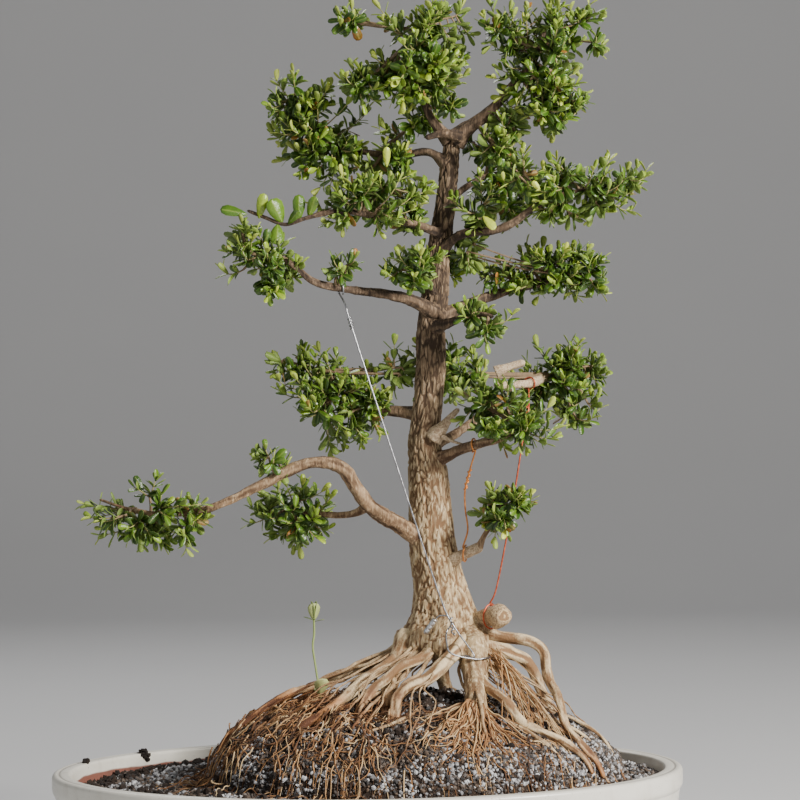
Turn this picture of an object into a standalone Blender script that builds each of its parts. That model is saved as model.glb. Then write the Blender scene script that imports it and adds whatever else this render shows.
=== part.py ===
"""A small-leaved box bonsai with exposed roots, wired down in an oval glazed pot.

Metres, +Z up. The origin is the middle of the pot's footprint on the table. The tree's front faces -Y.
"""

import math

import bmesh
import bpy
import numpy as np
from mathutils import Matrix, Vector

MM = 0.001

# Pot: an oval bowl on four short feet
POT_LENGTH = 0.440
POT_WIDTH = 0.330
POT_HEIGHT = 0.095
POT_WALL = 0.010
POT_FLOOR = 0.010
FOOT_HEIGHT = 0.008
FOOT_WIDTH = 0.014
FOOT_INSET = 0.004
FOOT_GAP_ALONG = 0.150
FOOT_GAP_ACROSS = 0.110
WALL_SLOPE = math.radians(5.0)
LIP_HEIGHT = 0.014
LIP_PROUD = 0.0025
RIM_ROUND = 0.0028
CORNER_ROUND = 0.008
SMALL_ROUND = 0.002
FOOT_DRAFT = 0.001
POT_SIDES = 48

# Drainage: two holes under one strip of coarse plastic mesh
DRAIN_RADIUS = 0.011
DRAIN_SPACING = 0.150
MESH_OVERLAP = 0.012
MESH_THICKNESS = 0.0012
MESH_BAR = 0.004
MESH_OPENING = 0.009

# Soil: fresh grit fills the pot, and the old root ball stands up out of it
SOIL_DEPTH_UNDER_RIM = 0.007
SOIL_DIP_LEFT = 0.007
DIP_START = 0.35
BALL_ROOM_LEFT = 0.095
BALL_ROOM_RIGHT = 0.029
BALL_ROOM_FRONT = 0.031
BALL_ROOM_BACK = 0.035
BALL_ROOM_UNDER = 0.016
MOUND_HEIGHT = 0.060
MOUND_LUMP = 0.012

# Tree: it stands right of the mound's middle, its root crown above the mound
TREE_HEIGHT = 0.466
CROWN_SPREAD = 1.0
TREE_OFFSET = 0.022
ROOT_STAND = 0.028
TRUNK_GIRTH = 1.0
LIMB_GIRTH = 1.0
ROOT_GIRTH = 1.0
BURIED = 0.012
FOLIAGE_FULLNESS = 1.0
CLOUD_LUMP = 0.035
LUMP_SEED = 11

# Guy wires
WIRE_RADIUS = 0.0006
WIRE_TURN_PITCH = 0.0024
CRIMP_RADIUS = 0.002

# Clearance between neighbours; turned parts start wider, because the oval presses them in across its width
GAP = 0.0003
OVAL_GAP = GAP * POT_LENGTH / POT_WIDTH

# Spacing of the rings of a limb and of a root, and how fast wood thins along its length
LIMB_RING = 0.014
ROOT_RING = 0.012
TAPER_POWER = 1.15


def inner_radius(z):
    """The pot's inner wall, half its length at height z: it leans out from the floor to the rim."""
    return POT_LENGTH / 2 - POT_WALL - LIP_PROUD - (POT_HEIGHT - z) * math.tan(WALL_SLOPE)


# Levels and places that follow from the sizes above
OVAL = POT_WIDTH / POT_LENGTH
SOIL_TOP = POT_HEIGHT - SOIL_DEPTH_UNDER_RIM
FLOOR_TOP = FOOT_HEIGHT + POT_FLOOR
MOUND_LENGTH = 2 * inner_radius(SOIL_TOP) - BALL_ROOM_LEFT - BALL_ROOM_RIGHT
MOUND_WIDTH = 2 * inner_radius(SOIL_TOP) * OVAL - BALL_ROOM_FRONT - BALL_ROOM_BACK
MOUND_X = (BALL_ROOM_LEFT - BALL_ROOM_RIGHT) / 2
MOUND_Y = (BALL_ROOM_FRONT - BALL_ROOM_BACK) / 2
TREE_X = MOUND_X + TREE_OFFSET
ROOT_CROWN_Z = SOIL_TOP + MOUND_HEIGHT + ROOT_STAND

# The layouts below are drawn for a tree of this height on a mound of this length and width
LAYOUT_HEIGHT = 0.466
LAYOUT_MOUND_LENGTH = 0.290
LAYOUT_MOUND_WIDTH = 0.244

# Roots follow the trunk's girth up to this far from its axis, in millimetres, and the mound from twice as far
CROWN_REACH = 36.0

# colour, roughness, metallic
FINISHES = {
    "glaze": ((0.80, 0.76, 0.67), 0.25, 0.0),
    "plastic": ((0.03, 0.10, 0.05), 0.5, 0.0),
    "grit": ((0.42, 0.40, 0.38), 0.95, 0.0),
    "old_soil": ((0.16, 0.11, 0.08), 0.95, 0.0),
    "bark": ((0.46, 0.35, 0.22), 0.9, 0.0),
    "limb_bark": ((0.24, 0.15, 0.09), 0.9, 0.0),
    "bare_wood": ((0.66, 0.57, 0.43), 0.8, 0.0),
    "root_bark": ((0.60, 0.45, 0.27), 0.85, 0.0),
    "leaf": ((0.12, 0.24, 0.04), 0.4, 0.0),
    "steel": ((0.62, 0.63, 0.65), 0.35, 1.0),
    "red_copper": ((0.62, 0.13, 0.05), 0.35, 1.0),
    "orange_copper": ((0.85, 0.33, 0.10), 0.35, 1.0),
}

# Trunk axis: x, y, height above the root crown, radius, in millimetres
TRUNK = [
    (-1, 0, -4, 22), (-1, 0, 4, 29), (-1, 0, 14, 27), (-1, 0, 22, 24.5), (-2, 0, 35, 20.5), (-4, 0, 49, 18),
    (-6, 0, 63, 17.5), (-8, 0, 77, 16.5), (-9, 0, 105, 15), (-10, 0, 128, 13.5), (-12, 0, 147, 11),
    (-9, 2, 175, 10.5), (-7, 3, 203, 11), (-7, 4, 224, 10), (-4, 4, 245, 9.5), (-1, 3, 270, 7.8),
    (1, 3, 287, 7.6), (5, 2, 315, 6.6), (8, 2, 340, 6.3), (11, 2, 361, 6),
]

# Roots: first and last radius, the pieces they grow out of, their bare stretch as x, y and height from the
# root crown, and their stretch on the mound as x, y and height above its surface, all in millimetres
ROOTS = {
    "root_front_pillar": (
        10.5, 6.5, ("trunk",),
        [(18, -6, 14), (19, -22, 5), (20, -34, -7), (20, -46, -23)], [(20, -58, 2)]),
    "root_front_bend": (
        6.0, 3.2, ("trunk", "root_front_pillar"),
        [(15, -18, 9), (7, -34, 2), (-2, -42, -6), (-10, -48, -13), (-18, -54, -17), (-27, -59, -20),
         (-33, -63, -26)],
        [(-35, -70, 1)]),
    "root_front_left": (
        3.9, 2.6, ("trunk",),
        [(-5, -14, 5), (-17, -30, -2), (-31, -40, -7), (-42, -46, -16), (-51, -50, -22)],
        [(-58, -56, 3)]),
    "root_left_leg": (
        7.0, 4.8, ("trunk",),
        [(-25, -4, 11), (-31, -14, -2), (-36, -26, -15), (-39, -40, -25)], [(-41, -54, 1)]),
    "root_left_long": (
        4.4, 2.8, ("trunk", "root_left_leg"),
        [(-26, -6, 5), (-38, -22, -6), (-52, -34, -14), (-64, -44, -23), (-76, -52, -32)],
        [(-87, -58, 3), (-97, -62, 1.5)]),
    "root_far_left": (
        3.6, 1.8, ("trunk", "root_left_leg"),
        [(-26, 6, 8), (-42, 10, -4), (-56, 12, -10), (-74, 12, -18), (-91, 8, -25), (-109, 4, -29)],
        [(-127, 0, 8), (-142, -4, 5), (-155, -6, 3)]),
    "root_front_right": (
        3.6, 2.2, ("root_front_pillar",),
        [(22, -40, -14), (27, -48, -20), (33, -54, -24), (41, -60, -30)],
        [(51, -66, 4), (64, -70, 4), (78, -70, 4), (92, -68, 3)]),
    "cut_root_knob": (
        5.2, 7.6, ("trunk", "root_front_pillar"),
        [(12, 0, 18), (25, -10, 22), (33, -16, 26), (39, -20, 27), (45, -23, 27)], []),
    "root_arch_right": (
        4.2, 2.6, ("trunk", "root_front_pillar", "cut_root_knob"),
        [(23, -6, 15), (39, -10, 10), (52, -12, 8), (63, -14, 5), (69, -16, -1), (70, -20, -11),
         (72, -26, -20), (76, -34, -27), (78, -42, -34)],
        [(82, -52, 5), (91, -58, 3), (100, -60, 2)]),
    "root_back_left": (
        6.0, 3.2, ("trunk",),
        [(-18, 14, 6), (-32, 28, -3), (-46, 38, -12), (-58, 48, -24)], [(-70, 58, 3), (-84, 66, 2)]),
    "root_back_middle": (
        7.0, 4.0, ("trunk",),
        [(-2, 18, 6), (-4, 34, -3), (-2, 46, -16)], [(2, 60, 3), (8, 74, 2)]),
    "root_back_right": (
        5.5, 3.0, ("trunk",),
        [(16, 14, 8), (32, 26, 0), (48, 36, -6), (62, 42, -16)], [(76, 50, 3), (88, 60, 2)]),
}

# Limbs: first and last radius, finish, what they grow out of, and their axis as x, y and height from the
# root crown, all in millimetres
LIMBS = {
    "limb_low_left": (
        6.6, 1.0, "limb_bark", ("trunk",),
        [(-9, 0, 72), (-22, -8, 83), (-31, -14, 89), (-41, -20, 95), (-52, -26, 104), (-59, -30, 114),
         (-64, -32, 122), (-69, -33, 129), (-78, -34, 133), (-93, -36, 133), (-108, -38, 127),
         (-124, -40, 119), (-141, -42, 111), (-158, -44, 104), (-177, -44, 100), (-198, -42, 100),
         (-218, -40, 104), (-236, -38, 110)]),
    "limb_low_left_fork": (
        3.0, 1.0, "limb_bark", ("limb_low_left",),
        [(-52, -25, 103), (-60, -18, 98), (-72, -12, 96), (-86, -7, 97), (-100, -3, 98), (-112, 0, 100)]),
    "limb_mid_left": (
        4.6, 1.4, "limb_bark", ("trunk",),
        [(-11, 0, 165), (-23, 6, 167), (-35, 10, 168), (-46, 13, 170), (-57, 15, 177), (-69, 16, 188),
         (-82, 18, 195), (-93, 20, 200)]),
    "limb_upper_left": (
        4.6, 1.2, "limb_bark", ("trunk",),
        [(-4, 0, 237), (-18, -10, 244), (-32, -20, 248), (-56, -30, 251), (-75, -36, 254),
         (-88, -40, 258), (-99, -43, 267), (-111, -45, 275), (-125, -47, 276)]),
    "limb_high_left": (
        3.2, 1.0, "limb_bark", ("trunk",),
        [(2, 0, 291), (-10, -14, 295), (-27, -26, 299), (-48, -34, 303), (-60, -37, 305),
         (-75, -39, 305), (-92, -41, 301), (-106, -41, 297), (-120, -41, 302), (-132, -39, 307)]),
    "limb_top_left": (
        3.4, 1.2, "limb_bark", ("trunk",),
        [(7, 0, 340), (-6, 4, 349), (-23, 10, 348), (-37, 15, 349), (-54, 20, 352), (-68, 23, 356),
         (-83, 26, 366), (-94, 28, 376)]),
    "limb_front": (
        3.0, 1.0, "limb_bark", ("trunk",),
        [(-4, 2, 250), (-7, -12, 255), (-11, -26, 260), (-14, -42, 264)]),
    "stub_right": (
        5.2, 3.2, "bare_wood", ("trunk",),
        [(-4, 0, 58), (8, -12, 65), (16, -16, 69), (27, -20, 74)]),
    "sprig_right": (
        1.8, 0.9, "limb_bark", ("stub_right",),
        [(25, -20, 73), (29, -22, 82), (35, -25, 90), (42, -28, 96), (50, -30, 100)]),
    "limb_lower_right": (
        5.0, 1.3, "limb_bark", ("trunk",),
        [(-8, 0, 132), (4, -10, 137), (16, -18, 142), (27, -24, 145), (41, -30, 148), (52, -34, 155),
         (62, -36, 162)]),
    "limb_lower_right_rear": (
        3.8, 1.2, "limb_bark", ("trunk",),
        [(-10, 0, 142), (6, 16, 149), (16, 24, 155), (28, 30, 164), (42, 36, 176), (57, 39, 187),
         (74, 40, 190), (92, 40, 194)]),
    "dead_limb_right": (
        3.2, 2.7, "bare_wood", ("limb_lower_right_rear",),
        [(73, 39, 189), (68, 24, 188), (61, 10, 186), (48, 2, 185), (37, -3, 185)]),
    "limb_mid_right": (
        5.0, 1.4, "limb_bark", ("trunk",),
        [(-4, 0, 232), (8, 8, 237), (21, 13, 243), (39, 16, 249), (52, 16, 253), (73, 15, 256),
         (89, 12, 260), (104, 8, 264)]),
    "limb_mid_right_front": (
        4.0, 1.5, "limb_bark", ("trunk", "limb_mid_right"),
        [(-4, 0, 226), (7, -14, 229), (16, -24, 232), (27, -32, 234), (36, -37, 232)]),
    "limb_upper_right": (
        3.8, 1.1, "limb_bark", ("trunk",),
        [(1, 0, 280), (11, -10, 288), (21, -16, 291), (38, -22, 292), (51, -26, 297), (65, -28, 307),
         (78, -28, 312), (98, -27, 319), (118, -23, 322)]),
    "limb_high_right_rear": (
        3.0, 1.1, "limb_bark", ("trunk",),
        [(5, 0, 312), (17, 14, 323), (30, 24, 332), (44, 33, 336), (58, 40, 338)]),
    "limb_top_leader": (
        3.9, 1.2, "limb_bark", ("trunk",),
        [(8, 0, 357), (-1, -2, 367), (-7, -4, 377), (-11, -6, 395), (-13, -8, 410), (-12, -8, 426),
         (-9, -8, 440)]),
    "limb_top_right": (
        5.2, 1.6, "limb_bark", ("trunk", "limb_top_leader"),
        [(12, 1, 356), (20, -2, 364), (34, -4, 374), (45, -6, 385), (53, -8, 395), (60, -10, 401),
         (68, -12, 414), (75, -14, 430)]),
    "limb_back_middle": (
        3.6, 1.2, "limb_bark", ("trunk",),
        [(-8, 2, 188), (-9, 18, 193), (-8, 36, 198), (-6, 54, 200), (-5, 70, 200)]),
    "limb_back_upper": (
        3.0, 1.1, "limb_bark", ("trunk",),
        [(-1, 2, 262), (-3, 18, 268), (-5, 36, 273), (-6, 56, 276)]),
}

# Seedling: its foot by height above the mound, its stem from the root crown, and a radius for each point
SEEDLING_FOOT = [(-86, -8, -6), (-86, -8, 0)]
SEEDLING_STEM = [(-90, -6, -11), (-92, -5, 4), (-91, -4, 13), (-91, -4, 17), (-90, -4, 24), (-90, -4, 29)]
SEEDLING_RADII = [1.0, 0.9, 0.8, 0.8, 0.8, 2.4, 2.8, 0.9]

# Guy wires: their runs between the turns, as x, y and height from the root crown, chosen by hand. A run moves
# with the crown, and a foot, tail or crimp with the roots
SILVER_RUN = [(-65, -41, 240), (-61, -42, 225), (-29, -44, 122)]
SILVER_FOOT = [(-3, -38, 40), (6, -39, 20)]
SILVER_TAIL = [(4, -48, 2), (1, -44, 9), (1, -39, 16), (4, -37, 21), (3, -35, 26), (-3, -32, 27),
               (-6, -30, 25)]
SILVER_CRIMP = [(-6.6, -29.8, 24.4), (-14, -27, 14)]
RED_RUN = [(61, 4, 167), (57, -1, 149), (51, -6, 115), (43, -11, 74), (36, -15, 43)]
ORANGE_RUN = [(19, -20, 127), (15.5, -16, 113), (15.5, -14, 99), (17, -14, 85)]

# Foliage: the limb that carries it, its middle as x, y and height from the root crown, and its half sizes
FOLIAGE = {
    "foliage_low_left": ("limb_low_left", (-205, -42, 103), (48, 27, 26)),
    "foliage_low_left_fork": ("limb_low_left_fork", (-105, 2, 98), (36, 28, 25)),
    "foliage_mid_left": ("limb_mid_left", (-75, 18, 176), (47, 33, 38)),
    "foliage_upper_left": ("limb_upper_left", (-122, -45, 267), (29, 27, 26)),
    "foliage_high_left": ("limb_high_left", (-51, -38, 311), (43, 27, 21)),
    "foliage_top_left": ("limb_top_left", (-81, 26, 366), (40, 32, 42)),
    "foliage_front": ("limb_front", (-15, -44, 264), (23, 20, 18)),
    "foliage_sprig_right": ("sprig_right", (41, -31, 99), (25, 18, 20)),
    "foliage_lower_right": ("limb_lower_right", (38, -36, 165), (34, 24, 25)),
    "foliage_lower_right_rear": ("limb_lower_right_rear", (86, 42, 186), (36, 28, 31)),
    "foliage_mid_right": ("limb_mid_right", (78, 16, 265), (42, 30, 20)),
    "foliage_mid_right_front": ("limb_mid_right_front", (28, -36, 230), (22, 19, 18)),
    "foliage_upper_right": ("limb_upper_right", (96, -26, 319), (48, 28, 22)),
    "foliage_high_right_rear": ("limb_high_right_rear", (50, 38, 328), (33, 28, 29)),
    "foliage_top_right": ("limb_top_right", (72, -8, 412), (39, 34, 46)),
    "foliage_top_left_leader": ("limb_top_leader", (-13, -8, 418), (39, 34, 43)),
    "foliage_back_middle": ("limb_back_middle", (-5, 72, 197), (33, 30, 25)),
    "foliage_back_upper": ("limb_back_upper", (-6, 62, 276), (27, 28, 19)),
}


def clear_scene():
    for obj in list(bpy.data.objects):
        bpy.data.objects.remove(obj, do_unlink=True)


def new_collection(name):
    collection = bpy.data.collections.new(name)
    bpy.context.scene.collection.children.link(collection)
    return collection


def material(name, finish):
    colour, roughness, metallic = FINISHES[finish]
    made = bpy.data.materials.new(name)
    made.use_nodes = True
    shader = made.node_tree.nodes["Principled BSDF"]
    shader.inputs["Base Color"].default_value = (*colour, 1.0)
    shader.inputs["Roughness"].default_value = roughness
    shader.inputs["Metallic"].default_value = metallic
    made.diffuse_color = (*colour, 1.0)
    return made


def add_part(name, mesh, finish):
    """A visible piece of the bonsai, shaded smooth up to 40 degrees, with its own material."""
    obj = bpy.data.objects.new(name, mesh)
    PARTS.objects.link(obj)
    mesh.materials.clear()
    mesh.materials.append(material(name, finish))
    mesh.shade_smooth()
    mesh.set_sharp_from_angle(angle=math.radians(40.0))
    return obj


def add_cutter(name, mesh):
    """A helper solid that only takes material away from its neighbours."""
    obj = bpy.data.objects.new(name, mesh)
    CUTTERS.objects.link(obj)
    obj.hide_render = True
    obj.display_type = "WIRE"
    return obj


def cut(obj, cutter):
    modifier = obj.modifiers.new("cut_" + cutter.name, "BOOLEAN")
    modifier.operation = "DIFFERENCE"
    modifier.solver = "EXACT"
    modifier.object = cutter


def evaluated_mesh(obj):
    """The object's mesh with modifiers, bevel and place worked in; the object itself is removed."""
    graph = bpy.context.evaluated_depsgraph_get()
    mesh = bpy.data.meshes.new_from_object(obj.evaluated_get(graph))
    mesh.transform(obj.matrix_world)
    data = obj.data
    bpy.data.objects.remove(obj, do_unlink=True)
    if isinstance(data, bpy.types.Curve):
        bpy.data.curves.remove(data)
    shape = bmesh.new()
    shape.from_mesh(mesh)
    bmesh.ops.remove_doubles(shape, verts=shape.verts, dist=0.00002)
    shape.to_mesh(mesh)
    shape.free()
    return mesh


def turned_oval(name, profile):
    """A profile of (radius, z) turned about Z, then pressed across Y into the pot's oval."""
    mesh = bpy.data.meshes.new(name)
    edges = [(i, i + 1) for i in range(len(profile) - 1)]
    mesh.from_pydata([(r, 0.0, z) for r, z in profile], edges, [])
    obj = bpy.data.objects.new(name, mesh)
    CUTTERS.objects.link(obj)
    screw = obj.modifiers.new("turn", "SCREW")
    screw.axis = "Z"
    screw.steps = POT_SIDES
    screw.render_steps = POT_SIDES
    screw.use_merge_vertices = True
    screw.merge_threshold = 0.00005
    bpy.context.view_layer.update()
    shape = evaluated_mesh(obj)
    bpy.data.meshes.remove(mesh)
    shape.transform(Matrix.Diagonal((1.0, OVAL, 1.0, 1.0)))
    return shape


def box_mesh(name, size, centre):
    """A box primitive as a mesh, from its size and its middle."""
    mesh = bpy.data.meshes.new(name)
    shape = bmesh.new()
    stretch = Matrix.Diagonal((*size, 1.0))
    bmesh.ops.create_cube(shape, size=1.0, matrix=Matrix.Translation(centre) @ stretch)
    shape.to_mesh(mesh)
    shape.free()
    return mesh


def smooth_path(points, count):
    """Points spaced evenly along a Catmull-Rom curve through the given points."""
    knots = np.array(points, float)
    padded = np.vstack([2 * knots[0] - knots[1], knots, 2 * knots[-1] - knots[-2]])
    t = np.linspace(0.0, 1.0, 12, endpoint=False)[:, None]
    spans = []
    for p0, p1, p2, p3 in zip(padded, padded[1:], padded[2:], padded[3:]):
        bend = 2 * p0 - 5 * p1 + 4 * p2 - p3
        twist = 3 * p1 - p0 - 3 * p2 + p3
        spans.append(0.5 * (2 * p1 + (p2 - p0) * t + bend * t**2 + twist * t**3))
    curve = np.vstack([*spans, knots[-1:]])
    run = np.concatenate([[0.0], np.cumsum(np.linalg.norm(np.diff(curve[:, :3], axis=0), axis=1))])
    even = np.linspace(0.0, run[-1], count)
    return np.column_stack([np.interp(even, run, curve[:, k]) for k in range(curve.shape[1])])


def path_length(points):
    return float(np.linalg.norm(np.diff(np.array(points, float)[:, :3], axis=0), axis=1).sum())


def tube_mesh(name, points, radii, bevel_resolution, grow=0.0):
    """A tapered tube along points; grow makes it fatter and longer all round, for a clearance cutter."""
    points = np.array(points, float)
    if grow:
        points = points.copy()
        for end, inner in ((0, 1), (-1, -2)):
            outward = points[end] - points[inner]
            points[end] += outward / np.linalg.norm(outward) * grow
    curve = bpy.data.curves.new(name, "CURVE")
    curve.dimensions = "3D"
    curve.bevel_depth = 1.0
    curve.bevel_resolution = bevel_resolution
    curve.use_fill_caps = True
    spline = curve.splines.new("POLY")
    spline.points.add(len(points) - 1)
    for knot, place, radius in zip(spline.points, points, radii):
        knot.co = (*place, 1.0)
        knot.radius = radius + grow
    obj = bpy.data.objects.new(name, curve)
    CUTTERS.objects.link(obj)
    bpy.context.view_layer.update()
    return evaluated_mesh(obj)


def in_tree(point):
    """A layout point in millimetres from the root crown, as a place in the world."""
    x, y, z = point[:3]
    return (
        TREE_X + x * MM * CROWN_SPREAD,
        y * MM * CROWN_SPREAD,
        ROOT_CROWN_Z + z * MM * TREE_HEIGHT / LAYOUT_HEIGHT,
    )


def mound_top(x, y):
    """Height of the root ball's smooth upper surface: half an ellipsoid standing on the soil."""
    share = ((x - MOUND_X) / (MOUND_LENGTH / 2)) ** 2 + ((y - MOUND_Y) / (MOUND_WIDTH / 2)) ** 2
    return SOIL_TOP + MOUND_HEIGHT * math.sqrt(max(0.0, 1.0 - share))


def root_spread(x, y):
    """Where a root runs: near the root crown it follows the trunk's girth, further out the mound's size."""
    along = MOUND_LENGTH / LAYOUT_MOUND_LENGTH
    across = MOUND_WIDTH / LAYOUT_MOUND_WIDTH
    far = min(1.0, max(0.0, math.hypot(x, y) / CROWN_REACH - 1.0))
    return (
        TREE_X + x * MM * (TRUNK_GIRTH + (along - TRUNK_GIRTH) * far),
        y * MM * (TRUNK_GIRTH + (across - TRUNK_GIRTH) * far),
    )


def off_crown(point):
    """A point given from the root crown, in the scene."""
    x, y, z = point
    return (*root_spread(x, y), ROOT_CROWN_Z + z * MM)


def on_mound(point):
    """A point given by its height above the mound's surface, in the scene."""
    x, y, lift = point
    place = root_spread(x, y)
    return (*place, mound_top(*place) + lift * MM)


class Stem:
    """A trunk, limb or root: its axis, radii and solid, and a slightly fatter cutter for what meets it."""

    def __init__(self, name, points, radii, finish, bevel_resolution, parents):
        self.points = points
        self.radii = radii
        self.obj = add_part(name, tube_mesh(name, points, radii, bevel_resolution), finish)
        clearance = tube_mesh(name + "_clearance", points, radii, bevel_resolution, GAP)
        self.cutter = add_cutter(name + "_clearance", clearance)
        for parent in parents:
            cut(self.obj, STEMS[parent].cutter)
        STEMS[name] = self

    def at(self, share):
        """Place, direction and radius at a share of the length."""
        spot = share * (len(self.points) - 1)
        low = min(int(spot), len(self.points) - 2)
        mix = spot - low
        place = self.points[low] * (1 - mix) + self.points[low + 1] * mix
        along = self.points[low + 1] - self.points[low]
        radius = self.radii[low] * (1 - mix) + self.radii[low + 1] * mix
        return Vector(place), Vector(along).normalized(), float(radius)


def make_pot():
    """A profile from the middle of the floor over the rim to the middle of the base, turned to an oval."""
    half = POT_LENGTH / 2
    wall_outer = half - LIP_PROUD
    lip_low = POT_HEIGHT - LIP_HEIGHT
    base_outer = wall_outer - (lip_low - FOOT_HEIGHT) * math.tan(WALL_SLOPE)
    foot_outer = base_outer - FOOT_INSET
    profile = [
        (0.0, FLOOR_TOP),
        (inner_radius(FLOOR_TOP) - CORNER_ROUND, FLOOR_TOP),
        (inner_radius(FLOOR_TOP) - SMALL_ROUND, FLOOR_TOP + SMALL_ROUND),
        (inner_radius(FLOOR_TOP + CORNER_ROUND), FLOOR_TOP + CORNER_ROUND),
        (inner_radius(POT_HEIGHT), POT_HEIGHT - RIM_ROUND),
        (inner_radius(POT_HEIGHT) + RIM_ROUND, POT_HEIGHT),
        (half - RIM_ROUND, POT_HEIGHT),
        (half, POT_HEIGHT - RIM_ROUND),
        (half, lip_low + SMALL_ROUND),
        (wall_outer, lip_low),
        (base_outer, FOOT_HEIGHT + CORNER_ROUND),
        (foot_outer, FOOT_HEIGHT),
        (foot_outer - FOOT_DRAFT, 0.0),
        (foot_outer - FOOT_WIDTH, 0.0),
        (foot_outer - FOOT_WIDTH - FOOT_DRAFT, FOOT_HEIGHT),
        (0.0, FOOT_HEIGHT),
    ]
    pot = add_part("pot", turned_oval("pot", profile), "glaze")
    gaps = {"ends": (POT_LENGTH, FOOT_GAP_ACROSS), "sides": (FOOT_GAP_ALONG, POT_WIDTH)}
    for side, (length, width) in gaps.items():
        gap_box = box_mesh("foot_gap_" + side, (length, width, 2 * FOOT_HEIGHT), (0, 0, 0))
        cut(pot, add_cutter("foot_gap_" + side, gap_box))
    for side, x in (("left", -DRAIN_SPACING / 2), ("right", DRAIN_SPACING / 2)):
        mesh = bpy.data.meshes.new("drain_hole_" + side)
        shape = bmesh.new()
        bmesh.ops.create_cone(
            shape, cap_ends=True, segments=20, radius1=DRAIN_RADIUS, radius2=DRAIN_RADIUS,
            depth=3 * POT_FLOOR, matrix=Matrix.Translation((x, 0, FOOT_HEIGHT + POT_FLOOR / 2)))
        shape.to_mesh(mesh)
        shape.free()
        cut(pot, add_cutter("drain_hole_" + side, mesh))


def make_drain_mesh():
    """One flat strip over both holes, with square openings in rows."""
    length = DRAIN_SPACING + 2 * (DRAIN_RADIUS + MESH_OVERLAP)
    width = 2 * (DRAIN_RADIUS + MESH_OVERLAP)
    middle = FLOOR_TOP + GAP + MESH_THICKNESS / 2
    sheet = box_mesh("drain_mesh", (length, width, MESH_THICKNESS), (0, 0, middle))
    strip = add_part("drain_mesh", sheet, "plastic")
    pitch = MESH_BAR + MESH_OPENING
    across = int((width - MESH_BAR) // pitch)
    shape = bmesh.new()
    for side in (-1, 1):
        for i in range(across):
            for j in range(across):
                x = side * DRAIN_SPACING / 2 + (i - (across - 1) / 2) * pitch
                y = (j - (across - 1) / 2) * pitch
                hole = Matrix.Diagonal((MESH_OPENING, MESH_OPENING, MESH_THICKNESS * 4, 1.0))
                bmesh.ops.create_cube(shape, size=1.0, matrix=Matrix.Translation((x, y, middle)) @ hole)
    mesh = bpy.data.meshes.new("mesh_openings")
    shape.to_mesh(mesh)
    shape.free()
    cut(strip, add_cutter("mesh_openings", mesh))
    clearance = box_mesh(
        "mesh_clearance", (length + 2 * GAP, width + 2 * GAP, MESH_THICKNESS + 4 * GAP), (0, 0, middle))
    return add_cutter("mesh_clearance", clearance)


def mound_mesh(name, grow=0.0):
    """The root ball: half an ellipsoid above the soil, a deeper bowl below it, with low lumps all over."""
    mesh = bpy.data.meshes.new(name)
    shape = bmesh.new()
    bmesh.ops.create_uvsphere(shape, u_segments=28, v_segments=14, radius=1.0)
    ball_depth = SOIL_TOP - FLOOR_TOP - BALL_ROOM_UNDER
    for vert in shape.verts:
        x, y, z = vert.co
        angle = math.atan2(y, x)
        lump = 1.0 + MOUND_LUMP * (math.sin(5 * angle + 2 * z) + math.sin(3 * angle - 5 * z))
        height = MOUND_HEIGHT if z > 0 else ball_depth
        vert.co = (
            MOUND_X + x * (MOUND_LENGTH / 2 + grow) * lump,
            MOUND_Y + y * (MOUND_WIDTH / 2 + grow) * lump,
            SOIL_TOP + z * (height + grow),
        )
    # fixed diagonals keep the ball and its clearance parallel all over
    bmesh.ops.triangulate(shape, faces=shape.faces, quad_method="FIXED")
    shape.to_mesh(mesh)
    shape.free()
    return mesh


def make_soil(mesh_clearance):
    """Grit between the pot and the root ball. Its surface sinks towards the left end."""
    bottom = FLOOR_TOP + GAP
    top_radius = inner_radius(SOIL_TOP) - OVAL_GAP
    profile = [
        (0.0, SOIL_TOP),
        (top_radius * 0.55, SOIL_TOP),
        (top_radius * 0.8, SOIL_TOP),
        (top_radius, SOIL_TOP),
        (inner_radius(bottom + CORNER_ROUND) - OVAL_GAP, bottom + CORNER_ROUND),
        (inner_radius(bottom) - CORNER_ROUND, bottom),
        (0.0, bottom),
    ]
    mesh = turned_oval("soil_bed", profile)
    for vert in mesh.vertices:
        if vert.co.z > SOIL_TOP - GAP:
            share = min(1.0, max(0.0, (-vert.co.x / top_radius - DIP_START) / (1 - DIP_START)))
            vert.co.z -= SOIL_DIP_LEFT * share * share * (3 - 2 * share)
            # the wall leans in as it goes down, so a sunk edge moves in with it
            narrow = 1.0 - (SOIL_TOP - vert.co.z) * math.tan(WALL_SLOPE) / top_radius
            vert.co.x *= narrow
            vert.co.y *= narrow
    bed = add_part("soil_bed", mesh, "grit")
    cut(bed, mesh_clearance)
    cut(bed, add_cutter("root_ball_clearance", mound_mesh("root_ball_clearance", grow=2 * GAP)))


def make_trunk():
    rings = smooth_path([(*in_tree(p), p[3] * MM * TRUNK_GIRTH) for p in TRUNK], 28)
    Stem("trunk", rings[:, :3], rings[:, 3], "bark", 4, ())


def tapered(first, last, count, girth):
    """Radii that thin quickly at first and slowly near the tip, as wood does."""
    share = np.linspace(0.0, 1.0, count)
    return (last + (first - last) * (1 - share) ** TAPER_POWER) * MM * girth


def make_limbs():
    for name, (first, last, finish, parents, layout) in LIMBS.items():
        route = [in_tree(p) for p in layout]
        count = max(6, round(path_length(route) / LIMB_RING))
        points = smooth_path(route, count)
        bevel_resolution = 2 if first > 4.0 else 1
        Stem(name, points, tapered(first, last, count, LIMB_GIRTH), finish, bevel_resolution, parents)


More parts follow.
